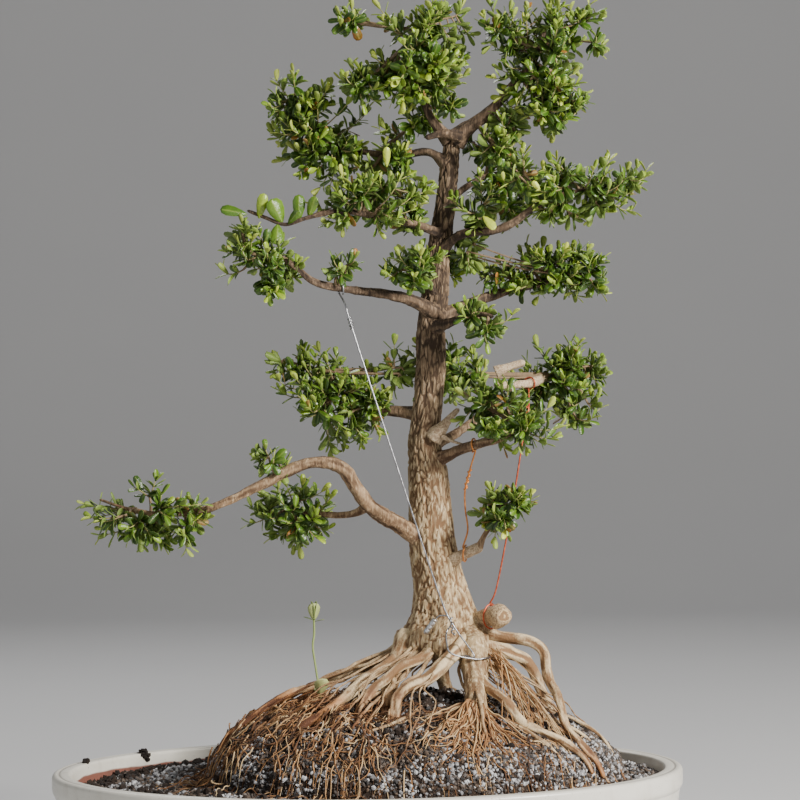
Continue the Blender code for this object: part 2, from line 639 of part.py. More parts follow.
def make_roots():
    """Roots leave the root crown, cross the gap beneath it and dive into pockets in the mound."""
    for name, (first, last, parents, bare, ground) in ROOTS.items():
        route = [off_crown(p) for p in bare] + [on_mound(p) for p in ground]
        if ground:
            heading = np.array(route[-1][:2]) - np.array(route[-2][:2])
            heading = heading / np.linalg.norm(heading) * BURIED / 2
            route.append((route[-1][0] + heading[0], route[-1][1] + heading[1], route[-1][2] - BURIED))
        count = max(6, round(path_length(route) / ROOT_RING))
        points = smooth_path(route, count)
        bevel_resolution = 2 if first > 4.0 else 1
        Stem(name, points, tapered(first, last, count, ROOT_GIRTH), "root_bark", bevel_resolution, parents)


def make_mound():
    mound = add_part("root_mound", mound_mesh("root_mound"), "old_soil")
    for name in [*(name for name in ROOTS if ROOTS[name][4]), "seedling"]:
        cut(mound, STEMS[name].cutter)


def boxes_meet(first, second):
    return bool(np.all(first[0] < second[1]) and np.all(second[0] < first[1]))


def box_of(points, margin):
    return points.min(axis=0) - margin, points.max(axis=0) + margin


def make_foliage():
    """Each cloud of leaves is a lumpy closed form with pockets for the limbs that run into it."""
    random = np.random.default_rng(LUMP_SEED)
    for name, (carrier, middle, half) in FOLIAGE.items():
        centre = np.array(in_tree(middle))
        scale = np.array([CROWN_SPREAD, CROWN_SPREAD, TREE_HEIGHT / LAYOUT_HEIGHT]) * FOLIAGE_FULLNESS
        size = np.array(half) * MM * scale
        mesh = bpy.data.meshes.new(name)
        shape = bmesh.new()
        bmesh.ops.create_uvsphere(shape, u_segments=11, v_segments=7, radius=1.0)
        phase = random.uniform(0.0, 2 * math.pi, 2)
        for vert in shape.verts:
            x, y, z = vert.co
            angle = math.atan2(y, x)
            around = math.sin(3 * angle + phase[0])
            upward = math.sin(4 * z + 2 * angle + phase[1])
            lump = 1.0 - CLOUD_LUMP * (2.0 - around - upward)
            vert.co = centre + np.array((x, y, z)) * size * lump
        shape.to_mesh(mesh)
        shape.free()
        cloud = add_part(name, mesh, "leaf")
        cut(cloud, STEMS[carrier].cutter)
        reach = (centre - size, centre + size)
        for other, stem in STEMS.items():
            if other != carrier and boxes_meet(reach, box_of(stem.points, max(stem.radii) + GAP)):
                cut(cloud, stem.cutter)


def ring_round(stem, share, clearance, start, turns, steps=12):
    """Points of a wire wound level round a stem from an angle in turns, sinking so that it misses itself."""
    place, along, radius = stem.at(share)
    upright = abs(along.z) > 0.5
    side = Vector((1, 0, 0)) if upright else Vector((0, 0, 1)).cross(along).normalized()
    other = Vector((0, 1, 0)) if upright else Vector((0, 0, 1))
    travel = Vector((0, 0, -1)) if upright else along
    count = round(abs(turns) * steps)
    points = []
    for i in range(count + 1):
        angle = 2 * math.pi * (start + turns * i / count)
        out = side * math.cos(angle) + other * math.sin(angle)
        # the distance, along out, from the leaning axis to a wire that clears the stem's surface
        reach = (radius + WIRE_RADIUS + clearance) / math.sqrt(1 - out.dot(along) ** 2)
        points.append(place + out * reach + travel * (i / count - 0.5) * WIRE_TURN_PITCH * abs(turns))
    return points


def wire(name, points, finish):
    """A wire drawn as a poly curve, made one closed solid."""
    radii = np.full(len(points), WIRE_RADIUS)
    add_part(name, tube_mesh(name, points, radii, 1), finish)


def make_wires():
    """Three guy wires: each is wound round a limb above and round a root or a stub below."""
    limb_turn = ring_round(STEMS["limb_upper_left"], 0.54, 2 * GAP, 0.75, 1.0)
    pillar_turn = ring_round(STEMS["root_front_pillar"], 0.45, 4 * GAP, 0.75, -1.0)
    wire(
        "guy_wire_silver",
        [*limb_turn, *map(in_tree, SILVER_RUN), *map(off_crown, SILVER_FOOT), *pillar_turn,
         *map(off_crown, SILVER_TAIL)],
        "steel")
    crimp = [off_crown(p) for p in SILVER_CRIMP]
    add_part("wire_crimp", tube_mesh("wire_crimp", crimp, [CRIMP_RADIUS, CRIMP_RADIUS], 1), "steel")
    limb_turn = ring_round(STEMS["dead_limb_right"], 0.5, 2 * GAP, 0.75, 1.0)
    knob_turn = ring_round(STEMS["cut_root_knob"], 0.62, 3 * GAP, 0.25, -1.0)
    wire("guy_wire_red", [*limb_turn, *map(in_tree, RED_RUN), *knob_turn], "red_copper")
    limb_turn = ring_round(STEMS["limb_lower_right"], 0.45, 2 * GAP, 0.75, 1.0)
    stub_turn = ring_round(STEMS["stub_right"], 0.64, 2 * GAP, 0.25, -1.0)
    wire("guy_wire_orange", [*limb_turn, *map(in_tree, ORANGE_RUN), *stub_turn], "orange_copper")


def make_seedling():
    """A seedling with its leaves still in a bud, rooted in the mound."""
    route = [on_mound(p) for p in SEEDLING_FOOT] + [off_crown(p) for p in SEEDLING_STEM]
    radii = np.array(SEEDLING_RADII) * MM
    Stem("seedling", np.array(route), radii, "leaf", 1, ())


clear_scene()
PARTS = new_collection("box_bonsai_in_pot")
CUTTERS = new_collection("cutters")
STEMS = {}
make_pot()
clearance_of_mesh = make_drain_mesh()
make_soil(clearance_of_mesh)
make_trunk()
make_limbs()
make_roots()
make_seedling()
make_mound()
make_foliage()
make_wires()
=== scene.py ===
# %% [markdown]
# # A box bonsai in an oval pot
#
# The measured model of the tree stands in the scene as sixty plain solids: a pot, its soil, a trunk, limbs,
# roots, wires and closed forms where the leaves go. This lesson gives each of them its surface. Solids whose
# shape is too plain are hidden and replaced by a finer piece that keeps to the same place and size.
#
# Everything is in metres, +Z up, with the pot's feet on Z = 0. The tree's front faces -Y.

# %% Open the measured model
import math
import bpy
import numpy as np
from mathutils import Matrix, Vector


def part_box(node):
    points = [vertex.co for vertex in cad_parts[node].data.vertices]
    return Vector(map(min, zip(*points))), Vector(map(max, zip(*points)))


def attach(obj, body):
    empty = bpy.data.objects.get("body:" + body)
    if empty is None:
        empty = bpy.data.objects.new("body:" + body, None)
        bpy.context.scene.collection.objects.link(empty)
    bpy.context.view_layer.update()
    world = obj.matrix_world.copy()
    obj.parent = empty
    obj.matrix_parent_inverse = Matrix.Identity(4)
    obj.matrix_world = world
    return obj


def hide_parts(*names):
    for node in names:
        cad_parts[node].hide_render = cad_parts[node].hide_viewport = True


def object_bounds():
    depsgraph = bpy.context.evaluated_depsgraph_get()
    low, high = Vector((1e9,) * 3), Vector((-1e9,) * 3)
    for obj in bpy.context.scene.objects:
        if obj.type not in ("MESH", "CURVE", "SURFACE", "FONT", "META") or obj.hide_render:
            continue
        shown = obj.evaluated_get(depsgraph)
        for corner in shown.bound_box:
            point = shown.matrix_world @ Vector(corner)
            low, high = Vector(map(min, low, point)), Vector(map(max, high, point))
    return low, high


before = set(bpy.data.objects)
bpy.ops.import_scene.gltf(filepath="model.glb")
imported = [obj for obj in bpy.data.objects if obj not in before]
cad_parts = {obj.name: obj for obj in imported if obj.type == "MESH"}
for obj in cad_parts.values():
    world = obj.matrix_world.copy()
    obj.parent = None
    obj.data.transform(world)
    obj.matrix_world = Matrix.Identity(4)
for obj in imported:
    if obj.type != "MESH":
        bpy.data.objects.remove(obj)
CAD_BOX = [list(corner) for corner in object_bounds()]
MM = 0.001
pot_low, pot_high = (np.array(corner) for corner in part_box("pot"))
mound_low, mound_high = (np.array(corner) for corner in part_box("root_mound"))
bed_high = np.array(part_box("soil_bed")[1])
trunk_low = np.array(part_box("trunk")[0])
overall = np.array(CAD_BOX[1]) - CAD_BOX[0]
print("solids:", len(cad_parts), "overall size in mm:", np.round(overall / MM, 1))

# %% [markdown]
# ## Camera
#
# The tree is seen from almost two metres away through a long lens, level with the middle of the trunk, and
# the camera leans by less than a degree. A long lens keeps the pot's ellipse flat and the trunk straight.

# %% Camera
EYE = (0.0261, -1.950, 0.3516)
LEAN = math.radians(0.75)
LENS, FILM_WIDTH = 125.4, 36.0
camera_data = bpy.data.cameras.new("portrait_camera")
camera_data.sensor_width = FILM_WIDTH
camera_data.lens = LENS
camera = bpy.data.objects.new("portrait_camera", camera_data)
camera.matrix_world = (
    Matrix.Translation(EYE) @ Matrix.Rotation(LEAN, 4, "Y") @ Matrix.Rotation(math.pi / 2, 4, "X"))
bpy.context.scene.collection.objects.link(camera)
bpy.context.scene.camera = camera
print("camera stands", round(-EYE[1], 2), "m in front of the trunk")

# %% [markdown]
# ## Writing finishes as sums
#
# A finish is worked out by small nodes, and wiring them one by one hides what they mean. Wrapping an output
# in a class with the usual operators lets a finish be written as a sum, such as `1 - crack * 0.5`, and each
# operator adds the Math node that does it. Colours go through Mix nodes, because a Math node turns them grey.

# %% Numbers from nodes
class Tone:
    """A number or a colour that comes out of a node. Its operators add Math nodes."""

    def __init__(self, finish, socket):
        self.finish = finish
        self.socket = socket

    def maths(self, operation, first, second):
        return self.finish.node("ShaderNodeMath", {"operation": operation}, {0: first, 1: second})

    def __add__(self, other):
        return self.maths("ADD", self, other)

    def __sub__(self, other):
        return self.maths("SUBTRACT", self, other)

    def __rsub__(self, other):
        return self.maths("SUBTRACT", other, self)

    def __mul__(self, other):
        return self.maths("MULTIPLY", self, other)

    __radd__ = __add__
    __rmul__ = __mul__


# %% A finish and its nodes
# A Mix node has sockets for numbers, vectors and colours, so the colour ones are called by number.
MIX_SHARE, MIX_FIRST, MIX_SECOND, MIX_RESULT = 0, 6, 7, 2


class Finish:
    """A material and the few ways in which this scene's finishes are put together."""

    def __init__(self, name, **fixed):
        self.material = bpy.data.materials.new(name)
        self.material.use_nodes = True
        self.tree = self.material.node_tree
        self.shader = self.tree.nodes["Principled BSDF"]
        for key, value in fixed.items():
            self.shader.inputs[key.replace("_", " ")].default_value = value

    def node(self, kind, settings, values, output=0):
        """A node of any kind: its settings first, then its sockets' values or links, by name or number."""
        made = self.tree.nodes.new(kind)
        for key, value in settings.items():
            if key == "stops":
                elements = made.color_ramp.elements
                elements.remove(elements[-1])
                elements[0].position = value[0][0]
                for place, _ in value[1:]:
                    elements.new(place)
                for element, (_, colour) in zip(elements, value):
                    element.color = (*colour, 1.0)
            else:
                setattr(made, key, value)
        for key, value in values.items():
            if isinstance(value, Tone):
                self.tree.links.new(value.socket, made.inputs[key])
            else:
                made.inputs[key].default_value = value
        return Tone(self, made.outputs[output])

    def drive(self, name, tone):
        self.tree.links.new(tone.socket, self.shader.inputs[name])

    def place(self):
        """Where a point is, in metres: the same in every piece, because pieces sit at the origin."""
        return self.node("ShaderNodeTexCoord", {}, {}, output="Object")

    def axis(self, number):
        """One coordinate: 0 is X, 1 is Y and 2 is Z."""
        return self.node("ShaderNodeSeparateXYZ", {}, {0: self.place()}, output=number)

    def mark(self, name):
        """A number stored on the piece's points."""
        return self.node("ShaderNodeAttribute", {"attribute_name": name}, {}, output="Fac")

    def stretched(self, size):
        """Places divided by the size of a pattern along X, Y and Z."""
        scale = tuple(1.0 / s for s in size)
        return self.node("ShaderNodeVectorMath", {"operation": "MULTIPLY"}, {0: self.place(), 1: scale})

    def noise(self, size, detail=3.0, roughness=0.55):
        """Cloudy noise from 0 to 1 whose blots have this size in metres along X, Y and Z."""
        values = {"Vector": self.stretched(size), "Scale": 1.0, "Detail": detail, "Roughness": roughness}
        return self.node("ShaderNodeTexNoise", {}, values)

    def cells(self, size):
        """Distance to the nearest of points strewn about a cell apart."""
        return self.node("ShaderNodeTexVoronoi", {}, {"Vector": self.stretched(size), "Scale": 1.0})

    def step(self, tone, low, high):
        """0 below low, 1 above high, and a smooth ramp between them."""
        return self.node(
            "ShaderNodeMapRange", {"interpolation_type": "SMOOTHSTEP"}, {0: tone, 1: low, 2: high})

    def ramp(self, tone, stops):
        return self.node("ShaderNodeValToRGB", {"stops": stops}, {0: tone})

    def blend(self, low, high, share):
        """Colour low where share is 0, and colour high where it is 1."""
        values = {MIX_SHARE: share}
        for key, colour in ((MIX_FIRST, low), (MIX_SECOND, high)):
            values[key] = colour if isinstance(colour, Tone) else (*colour, 1.0)
        return self.node("ShaderNodeMix", {"data_type": "RGBA"}, values, output=MIX_RESULT)

    def bump(self, height, depth):
        """Light falls on the surface as if it rose by depth metres where height is 1."""
        values = {"Height": height, "Distance": depth, "Strength": 1.0}
        self.drive("Normal", self.node("ShaderNodeBump", {}, values))


print("finishes can be written")

# %% [markdown]
# ## Random relief that repeats exactly
#
# Bark, soil and glaze all need irregular relief. Value noise is the simplest kind: random heights stand at
# the corners of a lattice, and a point takes a smooth blend of the eight corners round it. Layers of it, each
# half the size of the last, look like something grown. Cells, for bark plates, come from distances instead.

# %% Noise and plates
LATTICE = 32
BLOCK = 8000


def lattice_noise(points, cell, seed):
    """Value noise from -1 to 1: corner heights blended inside each cell by 3 t^2 - 2 t^3 along each axis."""
    heights = np.random.default_rng(seed).random((LATTICE, LATTICE, LATTICE))
    grid = np.asarray(points) / cell
    low = np.floor(grid).astype(int)
    t = grid - low
    t = t * t * (3 - 2 * t)
    total = np.zeros(grid.shape[:-1])
    for corner in np.ndindex(2, 2, 2):
        weight = np.where(corner, t, 1 - t).prod(axis=-1)
        i, j, k = np.moveaxis((low + corner) % LATTICE, -1, 0)
        total += weight * heights[i, j, k]
    return 2 * total - 1


def rough(points, cell, seed, layers=3):
    """Layers of lattice noise, each half the size and half the height of the one before."""
    return sum(lattice_noise(points, cell / 2**k, seed + k) / 2**k for k in range(layers))


def plate_edges(points, centres):
    """Distance to the second nearest centre less the distance to the nearest: 0 on a cell's border.

    It is worked out for a block of points at a time, to keep the table of distances small."""
    flat = points.reshape(-1, 3)
    edge = np.empty(len(flat))
    for start in range(0, len(flat), BLOCK):
        some = flat[start:start + BLOCK]
        square = (some**2).sum(1)[:, None] - 2 * some @ centres.T + (centres**2).sum(1)
        two = np.sqrt(np.maximum(np.partition(square, 1, axis=1)[:, :2], 0))
        edge[start:start + BLOCK] = two[:, 1] - two[:, 0]
    return edge.reshape(points.shape[:-1])


def smooth_step(low, high, value):
    """0 below low, 1 above high, 3 t^2 - 2 t^3 between them."""
    t = np.clip((value - low) / (high - low), 0, 1)
    return t * t * (3 - 2 * t)


sample = lattice_noise(np.random.default_rng(1).random((4000, 3)), 0.1, 1)
print("noise runs from", round(float(sample.min()), 2), "to", round(float(sample.max()), 2))

# %% [markdown]
# ## Surfaces as grids
#
# Nearly every piece here is a tube or a dome: a grid of points that closes round one way and ends in a point
# at each end of the other. One function turns such a grid into faces, another repeats a small shape many
# times in one go, and a third joins results. Each face also gets its own spot in a flat map, so that colours
# worked out by nodes can later be stored as a picture without one face landing on another.

# %% Grids, copies and joins
def unit(vectors):
    """The vectors at length 1."""
    return vectors / np.maximum(np.linalg.norm(vectors, axis=-1, keepdims=True), 1e-12)


def around(count):
    """Angles once round a circle."""
    return np.linspace(0, 2 * math.pi, count, endpoint=False)


def moved(maps, spots, gap, side):
    """Flat maps shrunk by a gap and put on squares of a board with this many squares along a side."""
    return (spots + gap + (1 - 2 * gap) * maps) / side


def grid_surface(grid, start, end, **marks):
    """A closed skin over grid[row, column]. Columns run round, rows from the point start to the point end.

    Quads join (row, column), (row, column + 1), (row + 1, column + 1), (row + 1, column), and fans of
    triangles close both ends. The flat map has columns across and rows up it."""
    rows, columns = grid.shape[:2]
    points = np.concatenate([grid.reshape(-1, 3), [start], [end]])
    row, column = np.mgrid[0:rows - 1, 0:columns].reshape(2, -1)
    after = (column + 1) % columns
    quads = np.stack([row * columns + column, row * columns + after, (row + 1) * columns + after,
                      (row + 1) * columns + column], axis=1)
    u = np.stack([column, column + 1, column + 1, column], axis=1) / columns
    v = (np.stack([row, row, row + 1, row + 1], axis=1) + 1) / (rows + 1)
    c = np.arange(columns)
    c2 = (c + 1) % columns
    last = (rows - 1) * columns
    fans = np.concatenate([
        np.stack([np.full(columns, rows * columns), c2, c], axis=1),
        np.stack([np.full(columns, rows * columns + 1), last + c, last + c2], axis=1)])
    across = np.stack([c + 0.5, c + 1, c], axis=1) / columns
    upward = np.stack([np.zeros(columns), np.ones(columns), np.ones(columns)], axis=1) / (rows + 1)
    far_across = np.stack([c + 0.5, c, c + 1], axis=1) / columns
    fan_map = np.concatenate([np.stack([across, upward], -1), np.stack([far_across, 1 - upward], -1)])
    stored = {
        key: np.concatenate([np.broadcast_to(value, (rows, columns)).ravel(), [value[0, 0], value[-1, 0]]])
        for key, value in marks.items()}
    return {"points": points, "quads": quads, "fans": fans, "quad_map": np.stack([u, v], -1),
            "fan_map": fan_map, "marks": stored}


def copies(shape, turns, places, **marks):
    """The shape once for each turn matrix and place; each copy gets its own square of the flat map."""
    count, size = len(places), len(shape["points"])
    side = math.ceil(math.sqrt(count))
    points = np.einsum("cij,pj->cpi", turns, shape["points"]) + places[:, None]
    shift = (np.arange(count) * size)[:, None, None]
    spot = np.stack([np.arange(count) % side, np.arange(count) // side], axis=-1)[:, None, None]
    stored = {key: np.tile(value, count) for key, value in shape["marks"].items()}
    stored.update({key: np.repeat(value, size) for key, value in marks.items()})
    return {
        "points": points.reshape(-1, 3),
        "quads": (shape["quads"] + shift).reshape(-1, 4),
        "fans": (shape["fans"] + shift).reshape(-1, 3),
        "quad_map": moved(shape["quad_map"], spot, 0.02, side).reshape(-1, 4, 2),
        "fan_map": moved(shape["fan_map"], spot, 0.02, side).reshape(-1, 3, 2),
        "marks": stored}


def joined(shapes):
    """Several surfaces as one; the flat map is shared out in squares."""
    side = math.ceil(math.sqrt(len(shapes)))
    starts = np.cumsum([0] + [len(shape["points"]) for shape in shapes])
    spots = [np.array([i % side, i // side]) for i in range(len(shapes))]
    return {
        "points": np.concatenate([s["points"] for s in shapes]),
        "quads": np.concatenate([s["quads"] + n for s, n in zip(shapes, starts)]),
        "fans": np.concatenate([s["fans"] + n for s, n in zip(shapes, starts)]),
        "quad_map": np.concatenate([moved(s["quad_map"], p, 0.01, side) for s, p in zip(shapes, spots)]),
        "fan_map": np.concatenate([moved(s["fan_map"], p, 0.01, side) for s, p in zip(shapes, spots)]),
        "marks": {key: np.concatenate([s["marks"][key] for s in shapes]) for key in shapes[0]["marks"]}}


# %% From a surface to a piece
def piece(name, shape, finish, replaces=(), sharp=None):
    """A Blender object from a surface. It rides on the tree's one body and may stand for measured solids.

    With sharp at 0 every face is flat. With an angle in degrees, edges sharper than that stay sharp."""
    mesh = bpy.data.meshes.new(name)
    quads, fans = shape["quads"], shape["fans"]
    corners = np.concatenate([quads.ravel(), fans.ravel()])
    starts = np.concatenate([np.arange(len(quads)) * 4, len(quads) * 4 + np.arange(len(fans)) * 3])
    mesh.vertices.add(len(shape["points"]))
    mesh.loops.add(len(corners))
    mesh.polygons.add(len(starts))
    mesh.vertices.foreach_set("co", shape["points"].astype(np.float32).ravel())
    mesh.loops.foreach_set("vertex_index", corners.astype(np.int32))
    mesh.polygons.foreach_set("loop_start", starts.astype(np.int32))
    mesh.update(calc_edges=True)
    flat_map = np.concatenate([shape["quad_map"].reshape(-1, 2), shape["fan_map"].reshape(-1, 2)])
    mesh.uv_layers.new(name="OFBake").data.foreach_set("uv", flat_map.astype(np.float32).ravel())
    for key, values in shape["marks"].items():
        mesh.attributes.new(key, "FLOAT", "POINT").data.foreach_set("value", values.astype(np.float32))
    mesh.validate()
    if sharp == 0:
        mesh.shade_flat()
    else:
        mesh.shade_smooth()
    if sharp:
        mesh.set_sharp_from_angle(angle=math.radians(sharp))
    mesh.materials.append(finish.material)
    obj = bpy.data.objects.new(name, mesh)
    bpy.context.scene.collection.objects.link(obj)
    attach(obj, "root")
    if replaces:
        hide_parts(*replaces)
    print(f"{name}: {len(quads) * 2 + len(fans)} triangles")
    return obj


# %% [markdown]
# ## The pot
#
# Bonsai pots of this kind are pressed in a mould, so the wall is even and the corners are soft. The glaze
# runs over the lip and a finger's breadth down the inside, where the bare clay starts with a wavering line.
# The wall is one profile, from the middle of the floor up the inside, over the lip and down to the middle of
# the base. Cutting its corners twice rounds them, and turning it while squeezing Y makes the oval.

# %% Pot profile
OVAL = (pot_high[1] - pot_low[1]) / (pot_high[0] - pot_low[0])
RIM = pot_high[2]
HALF = pot_high[0]
CORNER_CUTS, POT_ROWS = 2, 220
LEAN_OUT = math.tan(math.radians(5.0))
WALL, LIP_PROUD, LIP_TALL, FOOT, FLOOR = 0.010, 0.0025, 0.014, 0.008, 0.018
LIP_GROOVE = 0.0005


def inner_half(z):
    """Half the inside's length at height z: the wall leans out by 5 degrees."""
    return HALF - WALL - LIP_PROUD - (RIM - z) * LEAN_OUT


def cut_corners(line, times):
    """Each pass keeps the points a quarter and three quarters of the way along every span, and both ends."""
    for _ in range(times):
        near = line[:-1] * 0.75 + line[1:] * 0.25
        far = line[:-1] * 0.25 + line[1:] * 0.75
        line = np.concatenate([line[:1], np.stack([near, far], 1).reshape(-1, 2), line[-1:]])
    return line


lip_low = RIM - LIP_TALL
base = HALF - LIP_PROUD - (lip_low - FOOT) * LEAN_OUT
corners = np.array([
    (0.004, FLOOR), (inner_half(FLOOR) - 0.008, FLOOR), (inner_half(FLOOR + 0.003), FLOOR + 0.002),
    (inner_half(FLOOR + 0.012), FLOOR + 0.012), (inner_half(RIM - 0.004), RIM - 0.004),
    (inner_half(RIM), RIM - 0.0006), (inner_half(RIM) + 0.0022, RIM), (HALF - 0.0062, RIM),
    (HALF - 0.0052, RIM - LIP_GROOVE), (HALF - 0.0042, RIM), (HALF - 0.0020, RIM),
    (HALF, RIM - 0.0016), (HALF, RIM - 0.0050), (HALF, lip_low + 0.0030), (HALF - 0.0008, lip_low + 0.0006),
    (HALF - LIP_PROUD - 0.0002, lip_low - 0.0016),
    (base + 0.0008, FOOT + 0.0085), (base - 0.0010, FOOT + 0.0020),
    (base - 0.0045, FOOT), (base - 0.0048, 0.0), (base - 0.0175, 0.0), (base - 0.0180, FOOT), (0.004, FOOT)])
profile = cut_corners(corners, CORNER_CUTS)
run = np.concatenate([[0], np.cumsum(np.linalg.norm(np.diff(profile, axis=0), axis=1))])
fine = profile[:, 1] > RIM - 0.024
pace = np.concatenate([[0], np.cumsum(np.diff(run) / np.where(fine[1:], 0.0006, 0.0060))])
even = np.linspace(0, pace[-1], POT_ROWS)
pot_radius = np.interp(even, pace, profile[:, 0])
pot_z = np.interp(even, pace, profile[:, 1])
print("profile rows:", len(even), "length in mm:", round(run[-1] / MM))

# %% Pot surface
POT_COLUMNS = 240
turn = around(POT_COLUMNS)
x = pot_radius[:, None] * np.cos(turn)
y = pot_radius[:, None] * np.sin(turn) * OVAL
z = np.broadcast_to(pot_z[:, None], x.shape).copy()
on_foot = smooth_step(0.075, 0.078, np.abs(x)) * smooth_step(0.055, 0.058, np.abs(y))
z = np.where(z < FOOT, FOOT - (FOOT - z) * on_foot, z)
hand = 0.00022 * rough(np.stack([x, y, z], -1), 0.045, 71, 2)
grid = np.stack([x * (1 + hand / HALF), y * (1 + hand / HALF), z], axis=-1)
inside = (np.arange(len(even)) < np.argmax(pot_z))[:, None]
border = RIM - 0.0085 + 0.0009 * rough(grid * (1, 1, 0), 0.020, 5)
glazed = np.where(inside, smooth_step(-0.0006, 0.0006, grid[..., 2] - border),
                  smooth_step(FOOT - 0.001, FOOT + 0.0005, grid[..., 2]))
low_middle = (0.0, 0.0, FOOT)
off_groove = (pot_radius - (HALF - 0.0052)) / 0.0006
# Painted shade: how near each point is to the groove on the lip, used only to darken it.
groove = np.where(pot_z > RIM - 0.001, np.exp(-off_groove**2), 0)[:, None]
pot_shape = grid_surface(grid[::-1], low_middle, (0.0, 0.0, FLOOR), glazed=glazed[::-1], groove=groove[::-1])
print("feet touch down at", round(float(grid[..., 2].min()) / MM, 2), "mm")

# %% [markdown]
# ### Glaze and clay
#
# The glaze is a warm white, thin on the edges, where the clay shows through, and pinholed in places. The
# groove round the lip is darkened with painted shade. The clay inside is a dull brick pink with fine grit and
# a tide mark of old soil. A mark stored on the points says how much glaze each point has, so that one finish
# can hold both.

# %% Pot finish
pot_finish = Finish("glazed_clay")
glaze_mark = pot_finish.mark("glazed")
cloud = pot_finish.noise((0.030, 0.030, 0.012))
speck = pot_finish.step(pot_finish.noise((0.0016, 0.0016, 0.0016), 2.0), 0.66, 0.74)
stain = pot_finish.step(pot_finish.noise((0.012, 0.012, 0.020), 5.0), 0.50, 0.80)
grain = pot_finish.noise((0.0009, 0.0009, 0.0009), 2.0)
glaze_colour = pot_finish.blend((0.62, 0.59, 0.51), (0.78, 0.755, 0.68), cloud)
glaze_colour = pot_finish.blend(glaze_colour, (0.34, 0.27, 0.19), speck * 0.30)
glaze_colour = pot_finish.blend(glaze_colour, (0.40, 0.35, 0.27), stain * 0.35)
clay_colour = pot_finish.blend((0.15, 0.050, 0.034), (0.27, 0.105, 0.072), grain)
clay_colour = pot_finish.blend(clay_colour, (0.10, 0.055, 0.040), stain * 0.7)
# Painted shade: the groove round the lip is darkened almost to black.
glaze_colour = pot_finish.blend(glaze_colour, (0.085, 0.060, 0.045), pot_finish.mark("groove") * 0.75)
pot_finish.drive("Base Color", pot_finish.blend(clay_colour, glaze_colour, glaze_mark))
pot_finish.drive("Roughness", 0.86 - glaze_mark * (0.60 - cloud * 0.12))
pot_finish.bump(grain * (1 - glaze_mark * 0.9) + speck * 0.5, 0.0003)
pot = piece("oval_pot", pot_shape, pot_finish, ["pot"], sharp=50)

# %% Drain holes
HOLE_AT, HOLE_RADIUS, DRILL_TOP, HOLE_COLUMNS = 0.075, 0.011, 0.030, 40
hole_turn = around(HOLE_COLUMNS)
for side in (-HOLE_AT, HOLE_AT):
    ring = np.stack([side + HOLE_RADIUS * np.cos(hole_turn), HOLE_RADIUS * np.sin(hole_turn)], -1)
    stack = np.stack([np.column_stack([ring, np.full(HOLE_COLUMNS, h)]) for h in (0.0, DRILL_TOP)])
    hole = grid_surface(stack, (side, 0, 0), (side, 0, DRILL_TOP))
    tool_mesh = bpy.data.meshes.new("drain_hole_tool")
    faces = [*hole["quads"].tolist(), *hole["fans"].tolist()]
    tool_mesh.from_pydata(hole["points"].tolist(), [], faces)
    tool = bpy.data.objects.new("drain_hole_tool", tool_mesh)
    bpy.context.scene.collection.objects.link(tool)
    drill = pot.modifiers.new("drill", "BOOLEAN")
    drill.object = tool
    bpy.context.view_layer.update()
    drilled = bpy.data.meshes.new_from_object(pot.evaluated_get(bpy.context.evaluated_depsgraph_get()))
    pot.modifiers.clear()
    pot.data = drilled
    bpy.data.objects.remove(tool)
print("pot has", len(pot.data.polygons), "faces after drilling")

# %% [markdown]
# ## The ground
#
# Fresh grit fills the pot almost to the lip, and the old root ball stands out of it like a low hill. One
# height function describes both, so that everything that lies on the ground, from grains to hair roots, can
# ask for the height under it.

# %% Height of the ground
HILL = np.array([0.033, -0.002])
HILL_HALF = np.array([0.145, 0.122])
SOIL = bed_high[2]
HILL_TOP = mound_high[2] - SOIL
EDGE_HALF = inner_half(SOIL) - 0.0005
BED_SINKS, SINK_FROM, BARE_DROP = 0.007, 0.35, 0.0012


def hill_share(x, y):
    """0 in the middle of the hill and 1 on its foot, growing like the radius of its oval."""
    return np.hypot((x - HILL[0]) / HILL_HALF[0], (y - HILL[1]) / HILL_HALF[1])


def relief(x, y, z):
    """Lumps of old soil: a few millimetres of noise in blots of 14, 7, 3.5 and 1.8 mm."""
    return 0.0026 * rough(np.stack([x, y, z], -1), 0.014, 11, 4)


def ground(x, y):
    """Height of the soil at x, y: the bed, which sinks at the left end, and half an ellipsoid on it.

    The lumps are weaker on the bed, and all of it lies a little low to leave room for stones."""
    share = np.clip((-x / EDGE_HALF - SINK_FROM) / (1 - SINK_FROM), 0, 1)
    bed = SOIL - BED_SINKS * share**2 * (3 - 2 * share)
    dome = HILL_TOP * np.sqrt(np.clip(1 - hill_share(x, y) ** 2, 0, 1))
    height = bed + dome
    return height + relief(x, y, height) * (0.55 + 0.45 * np.clip(dome / 0.012, 0, 1)) - BARE_DROP


def oval(turn):
    """Points of the pot's plan, with a half length of 1."""
    return np.stack([np.cos(turn), np.sin(turn) * OVAL], -1)


def kept_inside(x, y):
    """Points past the pot's wall are drawn in to just inside it."""
    over = np.hypot(x, y / OVAL) / (EDGE_HALF - 0.004)
    return x / np.maximum(over, 1), y / np.maximum(over, 1)


print("hill top:", np.round(ground(*HILL[:, None])[0] / MM, 1), "mm")

